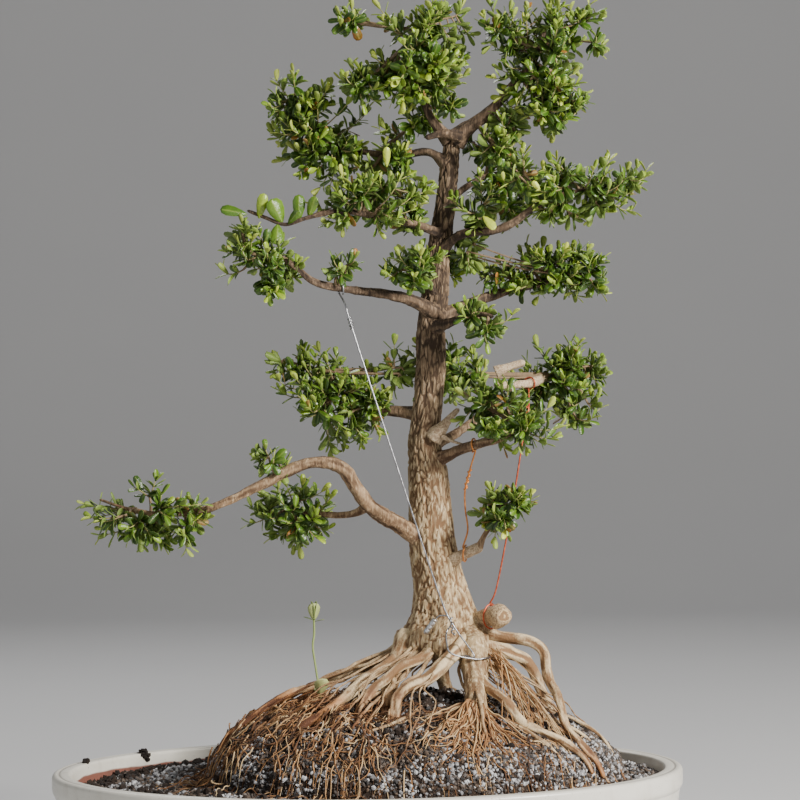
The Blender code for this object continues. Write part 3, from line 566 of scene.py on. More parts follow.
# %% Root ball and grit bed
BALL_COLUMNS, DOME_ROWS, BOWL_ROWS = 300, 108, 17
BED_COLUMNS, TOP_ROWS, POCKET_ROWS = 320, 30, 12
turn = around(BALL_COLUMNS)
fall = np.concatenate([np.linspace(0.01, math.pi / 2, DOME_ROWS),
                       np.linspace(math.pi / 2, math.pi - 0.05, BOWL_ROWS)[1:]])
share = np.sin(fall)[:, None]
x = HILL[0] + HILL_HALF[0] * share * np.cos(turn)
y = HILL[1] + HILL_HALF[1] * share * np.sin(turn)
BALL_DEPTH = SOIL - mound_low[2]
POCKET_LOW, POCKET_GAP = 0.0016, 0.0012
above = (fall <= math.pi / 2)[:, None]
z = np.where(above, ground(x, y), SOIL + BALL_DEPTH * np.cos(fall)[:, None] - BARE_DROP)
ball_grid = np.stack([x, y, z], -1)
ball_shape = grid_surface(
    ball_grid[::-1], (*HILL, mound_low[2]), (*HILL, float(ground(*HILL[:, None])[0])))
bed_turn = around(BED_COLUMNS)
shore = 1.003 * np.stack([HILL_HALF[0] * np.cos(bed_turn), HILL_HALF[1] * np.sin(bed_turn)], -1) + HILL
wall_line = EDGE_HALF * oval(bed_turn)
out = np.linspace(0, 1, TOP_ROWS)[:, None, None]
top = shore * (1 - out) + wall_line * out
top = np.concatenate([top, ground(top[..., 0], top[..., 1])[..., None]], -1)
dive = np.linspace(math.pi / 2, math.pi - 0.08, POCKET_ROWS)[:, None, None]
pocket = (shore - HILL) * np.sin(dive) + HILL
pocket_z = SOIL - POCKET_LOW + (BALL_DEPTH + POCKET_GAP) * np.cos(dive)
pocket_z = np.broadcast_to(pocket_z, (POCKET_ROWS, BED_COLUMNS, 1))
pocket = np.concatenate([pocket, pocket_z], -1)
down = np.array([0.060, 0.040, 0.026, FLOOR + 0.0020, FLOOR + 0.0018])
inset = np.array([inner_half(h) - 0.0005 for h in down[:3]] + [inner_half(FLOOR) - 0.009, 0.03])
wall_part = np.concatenate([
    inset[:, None, None] * oval(bed_turn)[None],
    np.broadcast_to(down[:, None, None], (len(down), BED_COLUMNS, 1))], -1)
bed_grid = np.concatenate([pocket[::-1], top[1:], wall_part])
bed_shape = grid_surface(
    bed_grid[::-1], (0, 0, FLOOR + 0.0018), (*HILL, SOIL - POCKET_LOW - BALL_DEPTH - POCKET_GAP))
print("root ball and bed:", len(ball_shape["quads"]), "and", len(bed_shape["quads"]), "quads")

# %% [markdown]
# ### Soil finishes
#
# Old potting soil is nearly black when it is damp, with bark crumbs, rust-brown fibres and pale dust where it
# has dried. Crumbs come from cells, and dust from noise, in small flecks and wide blots.

# %% Soil finish
def soil_finish(name, dark, light, dust, dust_amount):
    """Crumbs from a dark to a light colour, with dust on some of them and more of it in wide blots."""
    made = Finish(name, Roughness=0.95)
    crumb = made.cells((0.0028, 0.0028, 0.0028))
    fleck = made.step(made.noise((0.0015, 0.0015, 0.0015), 4.0), 0.55, 0.72)
    wide = made.step(made.noise((0.030, 0.030, 0.020), 4.0), 0.40, 0.70)
    colour = made.blend(dark, light, crumb)
    colour = made.blend(colour, dust, fleck * (dust_amount * 0.5 + wide * dust_amount))
    made.drive("Base Color", colour)
    made.bump(crumb * 0.6 + made.noise((0.0012, 0.0012, 0.0012), 4.0), 0.0016)
    return made


old_soil = soil_finish("old_soil", (0.008, 0.005, 0.004), (0.060, 0.034, 0.020), (0.20, 0.14, 0.10), 0.45)
grit_bed = soil_finish("grit_bed", (0.030, 0.025, 0.022), (0.16, 0.14, 0.125), (0.42, 0.40, 0.38), 0.8)
piece("root_ball", ball_shape, old_soil, ["root_mound"])
piece("bed_of_grit", bed_shape, grit_bed, ["soil_bed"])

# %% [markdown]
# ## Wood from a path and a radius
#
# A trunk, a limb and a root are all a line with a thickness. The line is a smooth curve through a few chosen
# points, and rings of points stand square to it. To keep the rings from twisting, they are lined up with the
# direction in which the path bends least, which is the same all along it.

# %% Paths and rings
CROWN = np.array([0.055, 0.0, trunk_low[2] + 0.004])
SPAN_POINTS = 24


def curve(points, step):
    """A Catmull-Rom curve at even steps. A span from p1 to p2 with neighbours p0 and p3 is
    0.5 (2 p1 + (p2 - p0) t + (2 p0 - 5 p1 + 4 p2 - p3) t^2 + (3 p1 - p0 - 3 p2 + p3) t^3)."""
    knots = np.array(points, float)
    padded = np.concatenate([[2 * knots[0] - knots[1]], knots, [2 * knots[-1] - knots[-2]]])
    t = np.linspace(0, 1, SPAN_POINTS, endpoint=False)[None, :, None]
    p0, p1, p2, p3 = (padded[k:len(knots) - 1 + k, None] for k in range(4))
    spans = 0.5 * (2 * p1 + (p2 - p0) * t + (2 * p0 - 5 * p1 + 4 * p2 - p3) * t**2
                   + (3 * p1 - p0 - 3 * p2 + p3) * t**3)
    line = np.concatenate([spans.reshape(-1, knots.shape[1]), knots[-1:]])
    length = np.concatenate([[0], np.cumsum(np.linalg.norm(np.diff(line[:, :3], axis=0), axis=1))])
    count = max(6, round(length[-1] / step))
    even = np.linspace(0, length[-1], count)
    return np.stack([np.interp(even, length, line[:, k]) for k in range(line.shape[1])], axis=1)


def from_crown(points):
    """Millimetres from the root crown to metres in the scene; a fourth number is a radius."""
    table = np.array(points, float) * MM
    table[:, :3] += CROWN
    return table


def rings(path, columns):
    """Unit vectors from the path outwards, [row, column]: cos(turn) side + sin(turn) other."""
    along = unit(np.gradient(path, axis=0))
    least = np.linalg.eigh(along.T @ along)[1][:, 0]
    side = unit(np.cross(least, along))
    other = np.cross(along, side)
    turn = around(columns)[None, :, None]
    return side[:, None] * np.cos(turn) + other[:, None] * np.sin(turn), along


def distance_along(path):
    """How far each point is from the path's start."""
    return np.concatenate([[0], np.cumsum(np.linalg.norm(np.diff(path, axis=0), axis=1))])


def rounded(radius, run):
    """The radius with a round end: sqrt(r^2 - (r - d)^2) at a distance d under r from the end."""
    left = np.clip(run[-1] - run, 0.04 * radius, radius)
    return np.sqrt(radius**2 - (radius - left) ** 2)


def skin(path, radius, columns, **marks):
    """A tube whose radius[row, column] may vary all over, closed at both ends."""
    out, along = rings(path, columns)
    grid = path[:, None] + out * np.broadcast_to(radius, out.shape[:2])[..., None]
    return grid_surface(grid, path[0] - along[0] * 1e-4, path[-1] + along[-1] * 1e-4, **marks)


print("root crown at", np.round(CROWN / MM, 1), "mm")

# %% [markdown]
# ### Where the tree goes
#
# These are the lines the measured solids were drawn along, in millimetres from the root crown: the trunk with
# its radius, and each limb and root with its first and last radius. A root's second list lies on the hill,
# and gives the height above it.

# %% Trunk, limb and root lines
TRUNK = [
    (-1, 0, -4, 22), (-1, 0, 4, 29), (-1, 0, 14, 27), (-1, 0, 22, 24.5), (-2, 0, 35, 20.5), (-4, 0, 49, 18),
    (-6, 0, 63, 17.5), (-8, 0, 77, 16.5), (-9, 0, 105, 15), (-10, 0, 128, 13.5), (-12, 0, 147, 11),
    (-9, 2, 175, 10.5), (-7, 3, 203, 11), (-7, 4, 224, 10), (-4, 4, 245, 9.5), (-1, 3, 270, 7.8),
    (1, 3, 287, 7.6), (5, 2, 315, 6.6), (8, 2, 340, 6.3), (11, 2, 361, 6)]
LIMBS = {
    "limb_low_left": (6.6, 1.0,
        [(-9, 0, 72), (-22, -8, 83), (-31, -14, 89), (-41, -20, 95), (-52, -26, 104), (-59, -30, 114),
         (-64, -32, 122), (-69, -33, 129), (-78, -34, 133), (-93, -36, 133), (-108, -38, 127),
         (-124, -40, 119), (-141, -42, 111), (-158, -44, 104), (-177, -44, 100), (-198, -42, 100),
         (-218, -40, 104), (-236, -38, 110)]),
    "limb_low_left_fork": (3.0, 1.0,
        [(-52, -25, 103), (-60, -18, 98), (-72, -12, 96), (-86, -7, 97), (-100, -3, 98), (-112, 0, 100)]),
    "limb_mid_left": (4.6, 1.4,
        [(-11, 0, 165), (-23, 6, 167), (-35, 10, 168), (-46, 13, 170), (-57, 15, 177), (-69, 16, 188),
         (-82, 18, 195), (-93, 20, 200)]),
    "limb_upper_left": (4.6, 1.2,
        [(-4, 0, 237), (-18, -10, 244), (-32, -20, 248), (-56, -30, 251), (-75, -36, 254), (-88, -40, 258),
         (-99, -43, 267), (-111, -45, 275), (-125, -47, 276)]),
    "limb_high_left": (3.2, 1.0,
        [(2, 0, 291), (-10, -14, 295), (-27, -26, 299), (-48, -34, 303), (-60, -37, 305), (-75, -39, 305),
         (-92, -41, 301), (-106, -41, 297), (-120, -41, 302), (-132, -39, 307)]),
    "limb_top_left": (3.4, 1.2,
        [(7, 0, 340), (-6, 4, 349), (-23, 10, 348), (-37, 15, 349), (-54, 20, 352), (-68, 23, 356),
         (-83, 26, 366), (-94, 28, 376)]),
    "limb_front": (3.0, 1.0,
        [(-4, 2, 250), (-7, -12, 255), (-11, -26, 260), (-14, -42, 264)]),
    "stub_right": (5.2, 3.2,
        [(-4, 0, 58), (8, -12, 65), (16, -16, 69), (27, -20, 74)]),
    "sprig_right": (1.8, 0.9,
        [(25, -20, 73), (29, -22, 82), (35, -25, 90), (42, -28, 96), (50, -30, 100)]),
    "limb_lower_right": (5.0, 1.3,
        [(-8, 0, 132), (4, -10, 137), (16, -18, 142), (27, -24, 145), (41, -30, 148), (52, -34, 155),
         (62, -36, 162)]),
    "limb_lower_right_rear": (3.8, 1.2,
        [(-10, 0, 142), (6, 16, 149), (16, 24, 155), (28, 30, 164), (42, 36, 176), (57, 39, 187),
         (74, 40, 190), (92, 40, 194)]),
    "dead_limb_right": (3.2, 2.7,
        [(73, 39, 189), (68, 24, 188), (61, 10, 186), (48, 2, 185), (37, -3, 185)]),
    "limb_mid_right": (5.0, 1.4,
        [(-4, 0, 232), (8, 8, 237), (21, 13, 243), (39, 16, 249), (52, 16, 253), (73, 15, 256),
         (89, 12, 260), (104, 8, 264)]),
    "limb_mid_right_front": (4.0, 1.5,
        [(-4, 0, 226), (7, -14, 229), (16, -24, 232), (27, -32, 234), (36, -37, 232)]),
    "limb_upper_right": (3.8, 1.1,
        [(1, 0, 280), (11, -10, 288), (21, -16, 291), (38, -22, 292), (51, -26, 297), (65, -28, 307),
         (78, -28, 312), (98, -27, 319), (118, -23, 322)]),
    "limb_high_right_rear": (3.0, 1.1,
        [(5, 0, 312), (17, 14, 323), (30, 24, 332), (44, 33, 336), (58, 40, 338)]),
    "limb_top_leader": (3.9, 1.2,
        [(8, 0, 357), (-1, -2, 367), (-7, -4, 377), (-11, -6, 395), (-13, -8, 410), (-12, -8, 426),
         (-9, -8, 440)]),
    "limb_top_right": (5.2, 1.6,
        [(12, 1, 356), (20, -2, 364), (34, -4, 374), (45, -6, 385), (53, -8, 395), (60, -10, 401),
         (68, -12, 414), (75, -14, 430)]),
    "limb_back_middle": (3.6, 1.2,
        [(-8, 2, 188), (-9, 18, 193), (-8, 36, 198), (-6, 54, 200), (-5, 70, 200)]),
    "limb_back_upper": (3.0, 1.1,
        [(-1, 2, 262), (-3, 18, 268), (-5, 36, 273), (-6, 56, 276)]),
}
ROOTS = {
    "root_front_pillar": (10.5, 6.5,
        [(18, -6, 14), (19, -22, 5), (20, -34, -7), (20, -46, -23)],
        [(20, -58, 2)]),
    "root_front_bend": (6.0, 3.2,
        [(15, -18, 9), (7, -34, 2), (-2, -42, -6), (-10, -48, -13), (-18, -54, -17), (-27, -59, -20),
         (-33, -63, -26)],
        [(-35, -70, 1)]),
    "root_front_left": (3.9, 2.6,
        [(-5, -14, 5), (-17, -30, -2), (-31, -40, -7), (-42, -46, -16), (-51, -50, -22)],
        [(-58, -56, 3)]),
    "root_left_leg": (7.0, 4.8,
        [(-25, -4, 11), (-31, -14, -2), (-36, -26, -15), (-39, -40, -25)],
        [(-41, -54, 1)]),
    "root_left_long": (4.4, 2.8,
        [(-26, -6, 5), (-38, -22, -6), (-52, -34, -14), (-64, -44, -23), (-76, -52, -32)],
        [(-87, -58, 3), (-97, -62, 1.5)]),
    "root_far_left": (3.6, 1.8,
        [(-26, 6, 8), (-42, 10, -4), (-56, 12, -10), (-74, 12, -18), (-91, 8, -25), (-109, 4, -29)],
        [(-127, 0, 8), (-142, -4, 5), (-155, -6, 3)]),
    "root_front_right": (3.6, 2.2,
        [(22, -40, -14), (27, -48, -20), (33, -54, -24), (41, -60, -30)],
        [(51, -66, 4), (64, -70, 4), (78, -70, 4), (92, -68, 3)]),
    "cut_root_knob": (5.2, 7.6,
        [(12, 0, 18), (25, -10, 22), (33, -16, 26), (39, -20, 27), (45, -23, 27)],
        []),
    "root_arch_right": (4.2, 2.6,
        [(23, -6, 15), (39, -10, 10), (52, -12, 8), (63, -14, 5), (69, -16, -1), (70, -20, -11),
         (72, -26, -20), (76, -34, -27), (78, -42, -34)],
        [(82, -52, 5), (91, -58, 3), (100, -60, 2)]),
    "root_back_left": (6.0, 3.2,
        [(-18, 14, 6), (-32, 28, -3), (-46, 38, -12), (-58, 48, -24)],
        [(-70, 58, 3), (-84, 66, 2)]),
    "root_back_middle": (7.0, 4.0,
        [(-2, 18, 6), (-4, 34, -3), (-2, 46, -16)],
        [(2, 60, 3), (8, 74, 2)]),
    "root_back_right": (5.5, 3.0,
        [(16, 14, 8), (32, 26, 0), (48, 36, -6), (62, 42, -16)],
        [(76, 50, 3), (88, 60, 2)]),
}
print("limbs:", len(LIMBS), "roots:", len(ROOTS))

# %% [markdown]
# ### Trunk
#
# Old box bark breaks into small corky plates, longer than wide, with brown cracks between them. Centres are
# strewn over the unrolled trunk, close together near the top, and each point asks how far it is from the
# border between its two nearest centres. That gives the relief and, kept as a mark, the colour. At the foot
# the trunk swells towards each root.

# %% Trunk surface
TRUNK_COLUMNS, PLATE_COUNT = 132, 1500
trunk_line = curve(from_crown(TRUNK), 0.0010)
trunk_path, trunk_radius = trunk_line[:, :3], trunk_line[:, 3]
trunk_run = distance_along(trunk_path)
turn = around(TRUNK_COLUMNS)[None, :]
PLATE_STRETCH = 3.4
unrolled = np.stack(np.broadcast_arrays(
    trunk_radius[:, None] * np.cos(turn), trunk_radius[:, None] * np.sin(turn),
    trunk_run[:, None] / PLATE_STRETCH), axis=-1)
chance = np.random.default_rng(21)
weight = trunk_radius / np.interp(trunk_run, [0, 0.12, 0.36], [0.0036, 0.0034, 0.0028]) ** 2
row = chance.choice(len(trunk_run), PLATE_COUNT, p=weight / weight.sum())
angle = chance.uniform(0, 2 * math.pi, PLATE_COUNT)
centres = np.stack([trunk_radius[row] * np.cos(angle), trunk_radius[row] * np.sin(angle),
                    trunk_run[row] / PLATE_STRETCH], axis=-1)
wander = 0.0013 * np.stack([rough(unrolled, 0.004, seed) for seed in (31, 32, 33)], axis=-1)
edge = plate_edges(unrolled + wander, centres)
plate = smooth_step(0.0, 0.0008, edge)
fibre = rough(unrolled * (1, 1, 0.6), 0.0026, 41, 3)
lump = rough(unrolled, 0.022, 51, 2)
heading = np.array([math.atan2(bare[1][1], bare[1][0]) for _, _, bare, _ in ROOTS.values()])
apart = np.abs((turn[..., None] - heading + math.pi) % (2 * math.pi) - math.pi)
lobe = np.exp(-(apart / 0.30) ** 2).max(axis=-1)
rise = trunk_path[:, 2:3] - CROWN[2]
flare = 0.0042 * (lobe - 0.55) * smooth_step(0.060, 0.006, rise)
depth = np.interp(trunk_run, [0, 0.10, 0.36], [0.0011, 0.0010, 0.0008])[:, None]
bark_radius = trunk_radius[:, None] + flare + (plate - 0.8) * depth + 0.0005 * fibre + 0.0009 * lump
bark_radius = rounded(bark_radius, trunk_run[:, None])
trunk_shape = skin(trunk_path, bark_radius, TRUNK_COLUMNS, plate=plate * (0.85 + 0.3 * fibre))
print("plates:", len(centres), "deepest crack in mm:", round(float(depth.max()) / MM, 2))

# %% [markdown]
# ### Bark finishes
#
# The bark is weathered to a pale straw colour low down, where it is oldest, and stays brown near the top.
# Cracks are darker than plates everywhere. Thin streaks, flakes and dark blots break it up.

# %% Bark finishes
def bark_finish(name, low_colours, high_colours, heights):
    """Crack, plate and flake colours below and above a range of heights, with streaks along the wood."""
    made = Finish(name)
    rise = made.step(made.axis(2) + made.noise((0.020, 0.020, 0.030)) * 0.06, heights[0], heights[1])
    mark = made.mark("plate")
    streak = made.noise((0.0011, 0.0011, 0.0090), 4.0, 0.62)
    flake = made.noise((0.0017, 0.0017, 0.0075), 5.0, 0.62)
    blot = made.step(made.noise((0.014, 0.014, 0.024), 4.0), 0.45, 0.70)
    cover = made.step(mark * 0.62 + streak * 0.50 + (flake - 0.5) * 0.7, 0.25, 0.95)
    crack = made.blend(low_colours[0], high_colours[0], rise)
    face = made.blend(low_colours[1], high_colours[1], rise)
    bright = made.blend(low_colours[2], high_colours[2], rise)
    colour = made.blend(crack, face, cover)
    colour = made.blend(colour, bright, made.step(flake, 0.46, 0.70) * cover)
    colour = made.blend(colour, crack, blot * 0.30)
    made.drive("Base Color", colour)
    made.drive("Roughness", 0.92 - cover * 0.14)
    made.bump(streak * 0.7 + flake * 0.5 + cover * 0.4, 0.0006)
    return made


trunk_bark = bark_finish(
    "trunk_bark", ((0.185, 0.098, 0.044), (0.52, 0.375, 0.20), (0.80, 0.66, 0.43)),
    ((0.042, 0.025, 0.014), (0.185, 0.118, 0.065), (0.37, 0.265, 0.165)), (0.26, 0.43))
limb_bark = bark_finish(
    "limb_bark", ((0.090, 0.046, 0.022), (0.34, 0.215, 0.115), (0.54, 0.39, 0.235)),
    ((0.030, 0.018, 0.011), (0.13, 0.080, 0.045), (0.28, 0.19, 0.115)), (0.30, 0.42))
piece("trunk_bark", trunk_shape, trunk_bark, ["trunk"])

# %% [markdown]
# ### Limbs
#
# A limb leaves the trunk through a thick collar and thins quickly, then slowly. Rings of old bud scars and
# small lumps keep it from looking like wire. Two of them are dead wood: a pale stub, and a bare end that has
# lost its bark.

# %% Limb surfaces
LINES = {}


def wood(points, first, last, columns, seed, collar=0.45, knots=0.10, grain=0.00045, line=None):
    """A tapering tube: radius last + (first - last) (1 - share)^1.15, plus a collar, knots and grain.

    Its line is kept under the name given as line, for wires and leaves to find."""
    path = curve(points, 0.0010)[:, :3]
    run = distance_along(path)
    share = run / run[-1]
    radius = last + (first - last) * (1 - share) ** 1.15
    if line:
        LINES[line] = (path, radius)
    radius = radius * (1 + collar * np.exp(-((run / (2.2 * first)) ** 2)))
    out, _ = rings(path, columns)
    spot = path[:, None] + out * radius[:, None, None]
    turn = around(columns)[None, :]
    unrolled = np.stack(np.broadcast_arrays(
        radius[:, None] * np.cos(turn), radius[:, None] * np.sin(turn), run[:, None] / 5.0), axis=-1)
    scar = np.abs(lattice_noise(run[:, None] * (1, 0, 0), 0.0085, seed))
    lump = rough(spot, 0.011, seed + 1, 2)
    fine = rough(unrolled, 0.0024, seed + 2, 2)
    thick = radius[:, None] * (1 + knots * lump + 0.06 * (scar[:, None] < 0.16)) + grain * fine
    plate = np.clip(0.55 + 0.65 * fine + 0.15 * lump, 0, 1)
    return skin(path, rounded(thick, run[:, None]), columns, plate=plate, share=share[:, None])


limb_shapes = {}
for number, (name, (first, last, points)) in enumerate(LIMBS.items()):
    columns = 36 if first > 4 else 24
    limb_shapes[name] = wood(
        from_crown(points), first * MM, last * MM, columns, 100 + 7 * number, line=name)
BARE_NAMES = ("stub_right", "dead_limb_right")
for name, shape in limb_shapes.items():
    if name not in BARE_NAMES:
        piece(name + "_bark", shape, limb_bark, [name])

# %% Dead wood
bare_wood = Finish("bare_wood")
grain_line = bare_wood.noise((0.0012, 0.0012, 0.0012), 5.0, 0.7)
weather = bare_wood.step(bare_wood.noise((0.007, 0.007, 0.007), 3.0), 0.45, 0.70)
wood_colour = bare_wood.blend(
    (0.30, 0.19, 0.10), (0.62, 0.49, 0.33), bare_wood.step(grain_line, 0.35, 0.62))
bare_wood.drive("Base Color", bare_wood.blend(wood_colour, (0.22, 0.15, 0.10), weather * 0.5))
bare_wood.drive("Roughness", 0.70 + grain_line * 0.2)
bare_wood.bump(grain_line, 0.0005)
for name in BARE_NAMES:
    piece(name + "_wood", limb_shapes[name], bare_wood, [name])

# %% [markdown]
# ### Roots
#
# Roots that have been lifted out of the soil grow thin pale bark. They are cream near the crown, where rain
# has washed them for years, and rust brown where they have only just come into the light. Towards the left of
# the hill they are also drawn more rust brown and darker, as painted shade.

# %% Root surfaces
def hill(x, y):
    """Height of the smooth hill, without its lumps."""
    return SOIL + HILL_TOP * math.sqrt(max(0.0, 1 - float(hill_share(x, y)) ** 2))


def root_route(bare, ground_points):
    """The bare stretch from the crown, the stretch on the hill, and a dive of 12 mm into it."""
    route = [tuple(p) for p in from_crown(bare)]
    for x, y, lift in ground_points:
        place = CROWN[0] + x * MM, y * MM
        route.append((*place, hill(*place) + lift * MM))
    if ground_points:
        ahead = unit(np.array(route[-1][:2]) - np.array(route[-2][:2])) * 0.006
        route.append((route[-1][0] + ahead[0], route[-1][1] + ahead[1], route[-1][2] - 0.012))
    return route


root_bark = Finish("root_bark")
length_mark = root_bark.mark("share")
plate_mark = root_bark.mark("plate")
drift = root_bark.noise((0.010, 0.010, 0.010), 4.0)
hair = root_bark.noise((0.0012, 0.0012, 0.0028), 4.0, 0.7)
# Painted shade: roots towards the left, away from the main light, are drawn more rust brown and darker.
left_shade = root_bark.step(root_bark.axis(0), 0.030, -0.060)
age_and_shade = root_bark.step(length_mark + (drift - 0.5) * 0.8 + left_shade * 0.42, 0.58, 1.10)
worn = root_bark.step(plate_mark + (hair - 0.5) * 0.9, 0.25, 0.95)
cream = root_bark.blend((0.25, 0.135, 0.058), (0.74, 0.575, 0.345), worn)
rust = root_bark.blend((0.105, 0.036, 0.013), (0.47, 0.205, 0.070), worn)
root_colour = root_bark.blend(cream, rust, age_and_shade)
root_bark.drive("Base Color", root_bark.blend(
    root_colour, (0.15, 0.085, 0.045), root_bark.step(drift, 0.58, 0.74) * 0.45))
root_bark.drive("Roughness", 0.80 - plate_mark * 0.15)
root_bark.bump(hair + plate_mark * 0.5, 0.0006)
for number, (name, (first, last, bare, on_hill)) in enumerate(ROOTS.items()):
    if name == "cut_root_knob":
        continue
    columns = 48 if first > 8 else 30
    shape = wood(root_route(bare, on_hill), first * MM, last * MM, columns, 300 + 9 * number,
                 collar=0.22, knots=0.12, grain=0.00060, line=name)
    finish = trunk_bark if name == "root_front_pillar" else root_bark
    piece(name + "_bark", shape, finish, [name])

# %% [markdown]
# ### A sawn root and some broken wood
#
# One old root was sawn off, and its oval end shows rings. The last rows of its surface are drawn in towards
# the middle, all at the end of the path, which makes the flat face. Round it and higher up there are stubs
# and twigs too small to have been measured.

# %% Sawn root
FACE_ROWS, KNOB_COLUMNS = 14, 48
first, last, bare, _ = ROOTS["cut_root_knob"]
knob_path = curve(from_crown([*bare[:2], (33, -17, 25), (38, -24, 26), (41, -31, 26)]), 0.0008)[:, :3]
share = np.linspace(0, 1, len(knob_path))
swelling = 1 + 0.12 * np.exp(-((share - 0.80) / 0.12) ** 2)
shoulder = np.sqrt(1 - 0.50 * (np.maximum(share - 0.86, 0) / 0.14) ** 2)
knob_radius = MM * (last + (first - last) * (1 - share) ** 1.15) * swelling * shoulder
LINES["cut_root_knob"] = (knob_path, knob_radius)
end_step = unit(knob_path[-1] - knob_path[-2]) * 0.00002
knob_path = np.concatenate([knob_path, knob_path[-1] + end_step * np.arange(1, FACE_ROWS + 1)[:, None]])
inwards = np.linspace(1, 0.04, FACE_ROWS + 1)[1:]
knob_radius = np.concatenate([knob_radius, knob_radius[-1] * inwards])
sawn = np.concatenate([np.zeros(len(share)), np.ones(FACE_ROWS)])[:, None]
middle = np.concatenate([np.ones(len(share)), inwards])[:, None]
knob_out, _ = rings(knob_path, KNOB_COLUMNS)
bumps = rough(knob_path[:, None] + knob_out * knob_radius[:, None, None], 0.009, 401, 3)
knob_radius = knob_radius[:, None] * (1 + 0.17 * bumps)
knob_shape = skin(knob_path, knob_radius, KNOB_COLUMNS, sawn=sawn, middle=middle)
end_grain = Finish("end_grain")
ring_tone = end_grain.node("ShaderNodeMath", {"operation": "SINE"}, {
    0: (end_grain.mark("middle") + end_grain.noise((0.008, 0.008, 0.008)) * 2.0) * 11.0})
ring_share = end_grain.step(ring_tone, -0.6, 0.8)
split = end_grain.noise((0.0014, 0.0014, 0.0014), 4.0)
face_colour = end_grain.blend((0.26, 0.150, 0.070), (0.58, 0.42, 0.23), ring_share)
rind = end_grain.blend((0.16, 0.085, 0.040), (0.56, 0.41, 0.24), end_grain.step(split, 0.30, 0.62))
rim_share = end_grain.step(end_grain.mark("middle"), 0.86, 0.93)
face_share = end_grain.mark("sawn") * (1 - rim_share)
end_grain.drive("Base Color", end_grain.blend(rind, face_colour, face_share))
end_grain.drive("Roughness", 0.85 - ring_share * 0.2)
end_grain.bump(ring_share * face_share * 0.4 + split, 0.0006)
piece("sawn_root", knob_shape, end_grain, ["cut_root_knob"], sharp=50)

# %% Broken wood
STUBS = {
    "pale_wedge": ([(-6, -8, 149), (0, -11, 156), (6, -13, 163), (12, -15, 169)], 4.6, 1.6),
    "pale_stub": ([(38, -2, 194), (46, -2, 197), (59, 0, 201)], 3.1, 2.6),
    "pale_twig": ([(0, -13, 150), (6, -15, 147), (15, -17, 144)], 1.3, 0.9)}
for number, (name, (points, first, last)) in enumerate(STUBS.items()):
    piece(name, wood(from_crown(points), first * MM, last * MM, 24, 420 + number), bare_wood)
crossing = wood(from_crown([(16, -5, 359), (4, -8, 361), (-9, -9, 358)]), 3.4 * MM, 1.9 * MM, 28, 430)
piece("crossing_branch", crossing, limb_bark)
# Points on the hill from the crown, then thickness and lift, all in millimetres.
GROUND_ROOTS = [
    ([(60, -44), (78, -52), (96, -58), (112, -60)], 1.5, 2.0),
    ([(58, -38), (76, -40), (98, -44), (118, -42)], 1.4, 1.8),
    ([(40, -62), (56, -74), (70, -80), (86, -82)], 1.8, 1.6),
    ([(-20, -62), (-34, -80), (-52, -88), (-66, -92)], 1.6, 1.5),
    ([(-54, -30), (-74, -44), (-92, -50), (-112, -52)], 1.7, 1.6),
    ([(-64, 4), (-84, -12), (-104, -18), (-128, -26)], 1.9, 2.0),
    ([(4, -58), (2, -76), (-8, -92), (-10, -100)], 1.5, 1.4),
    ([(70, -8), (90, -12), (110, -18), (124, -26)], 1.7, 1.8)]
for number, (spots, thick, lift) in enumerate(GROUND_ROOTS):
    table = np.array(spots, float) * MM + CROWN[:2]
    rise = np.array([0.0] + [lift * MM] * (len(spots) - 2) + [-0.003])
    route = np.column_stack([table, [hill(*place) for place in table] + rise])
    shape = wood(route, thick * MM, 0.5 * thick * MM, 20, 440 + number, grain=0.00025)
    piece(f"creeping_root_{number + 1}", shape, root_bark)

# %% [markdown]
# ## Many at once
#
# Twigs, hair roots and leaf stalks come in hundreds, so their rings are worked out together. Each path is a
# curve with three points, and its tube stands on the plane that the three points share.

# %% Bundles of fine tubes
def bundle(grids, starts, ends, **marks):
    """Many closed skins with the same rows and columns: grids[piece, row, column], marks[piece, row]."""
    count, rows, columns = grids.shape[:3]
    first = grid_surface(grids[0], starts[0], ends[0])
    points = np.concatenate([grids.reshape(count, -1, 3), starts[:, None], ends[:, None]], axis=1)
    shape = copies({**first, "points": np.zeros((points.shape[1], 3)), "marks": {}},
                   np.zeros((count, 3, 3)), np.zeros((count, 3)))
    shape["points"] = points.reshape(-1, 3)
    shape["marks"] = {
        key: np.concatenate([np.repeat(value, columns, axis=1), value[:, :1], value[:, -1:]], axis=1).ravel()
        for key, value in marks.items()}
    return shape


def evenly(value, count):
    """The row of values for each of count pieces."""
    return value[None] * np.ones((count, 1))


def bend_curve(first, middle, last, share):
    """(1 - t)^2 first + 2 t (1 - t) middle + t^2 last, for [piece] points and [row] shares."""
    t = share[None, :, None]
    return (1 - t) ** 2 * first[:, None] + 2 * t * (1 - t) * middle[:, None] + t**2 * last[:, None]


def fine_tubes(paths, radius, columns, **marks):
    """Tubes along paths[piece, row] with radius[piece, row]."""
    along = unit(np.gradient(paths, axis=1))
    upright = np.cross(paths[:, -1] - paths[:, 0], paths[:, len(paths[0]) // 2] - paths[:, 0])
    upright = unit(upright + 1e-9 * np.array([1.0, 2.0, 3.0]))[:, None]
    side = unit(np.cross(upright, along))
    other = np.cross(along, side)
    turn = around(columns)[None, None, :, None]
    out = side[:, :, None] * np.cos(turn) + other[:, :, None] * np.sin(turn)
    grids = paths[:, :, None] + out * radius[:, :, None, None]
    return bundle(grids, paths[:, 0] - along[:, 0] * 1e-5, paths[:, -1] + along[:, -1] * 1e-5, **marks)


print("fine tubes can be made")

# %% [markdown]
# ## Leaves
#
# A box leaf is a small spoon: narrow at the stalk, widest past the middle, folded a little along its midrib
# and bent down at the tip. It is modelled closed, with its underside, so that it looks right from below.
# Three leaves that differ in fold and bend are enough, because every copy is also turned and sized by chance.
# A fourth is half as wide again, for one branch tip and for the seedling.

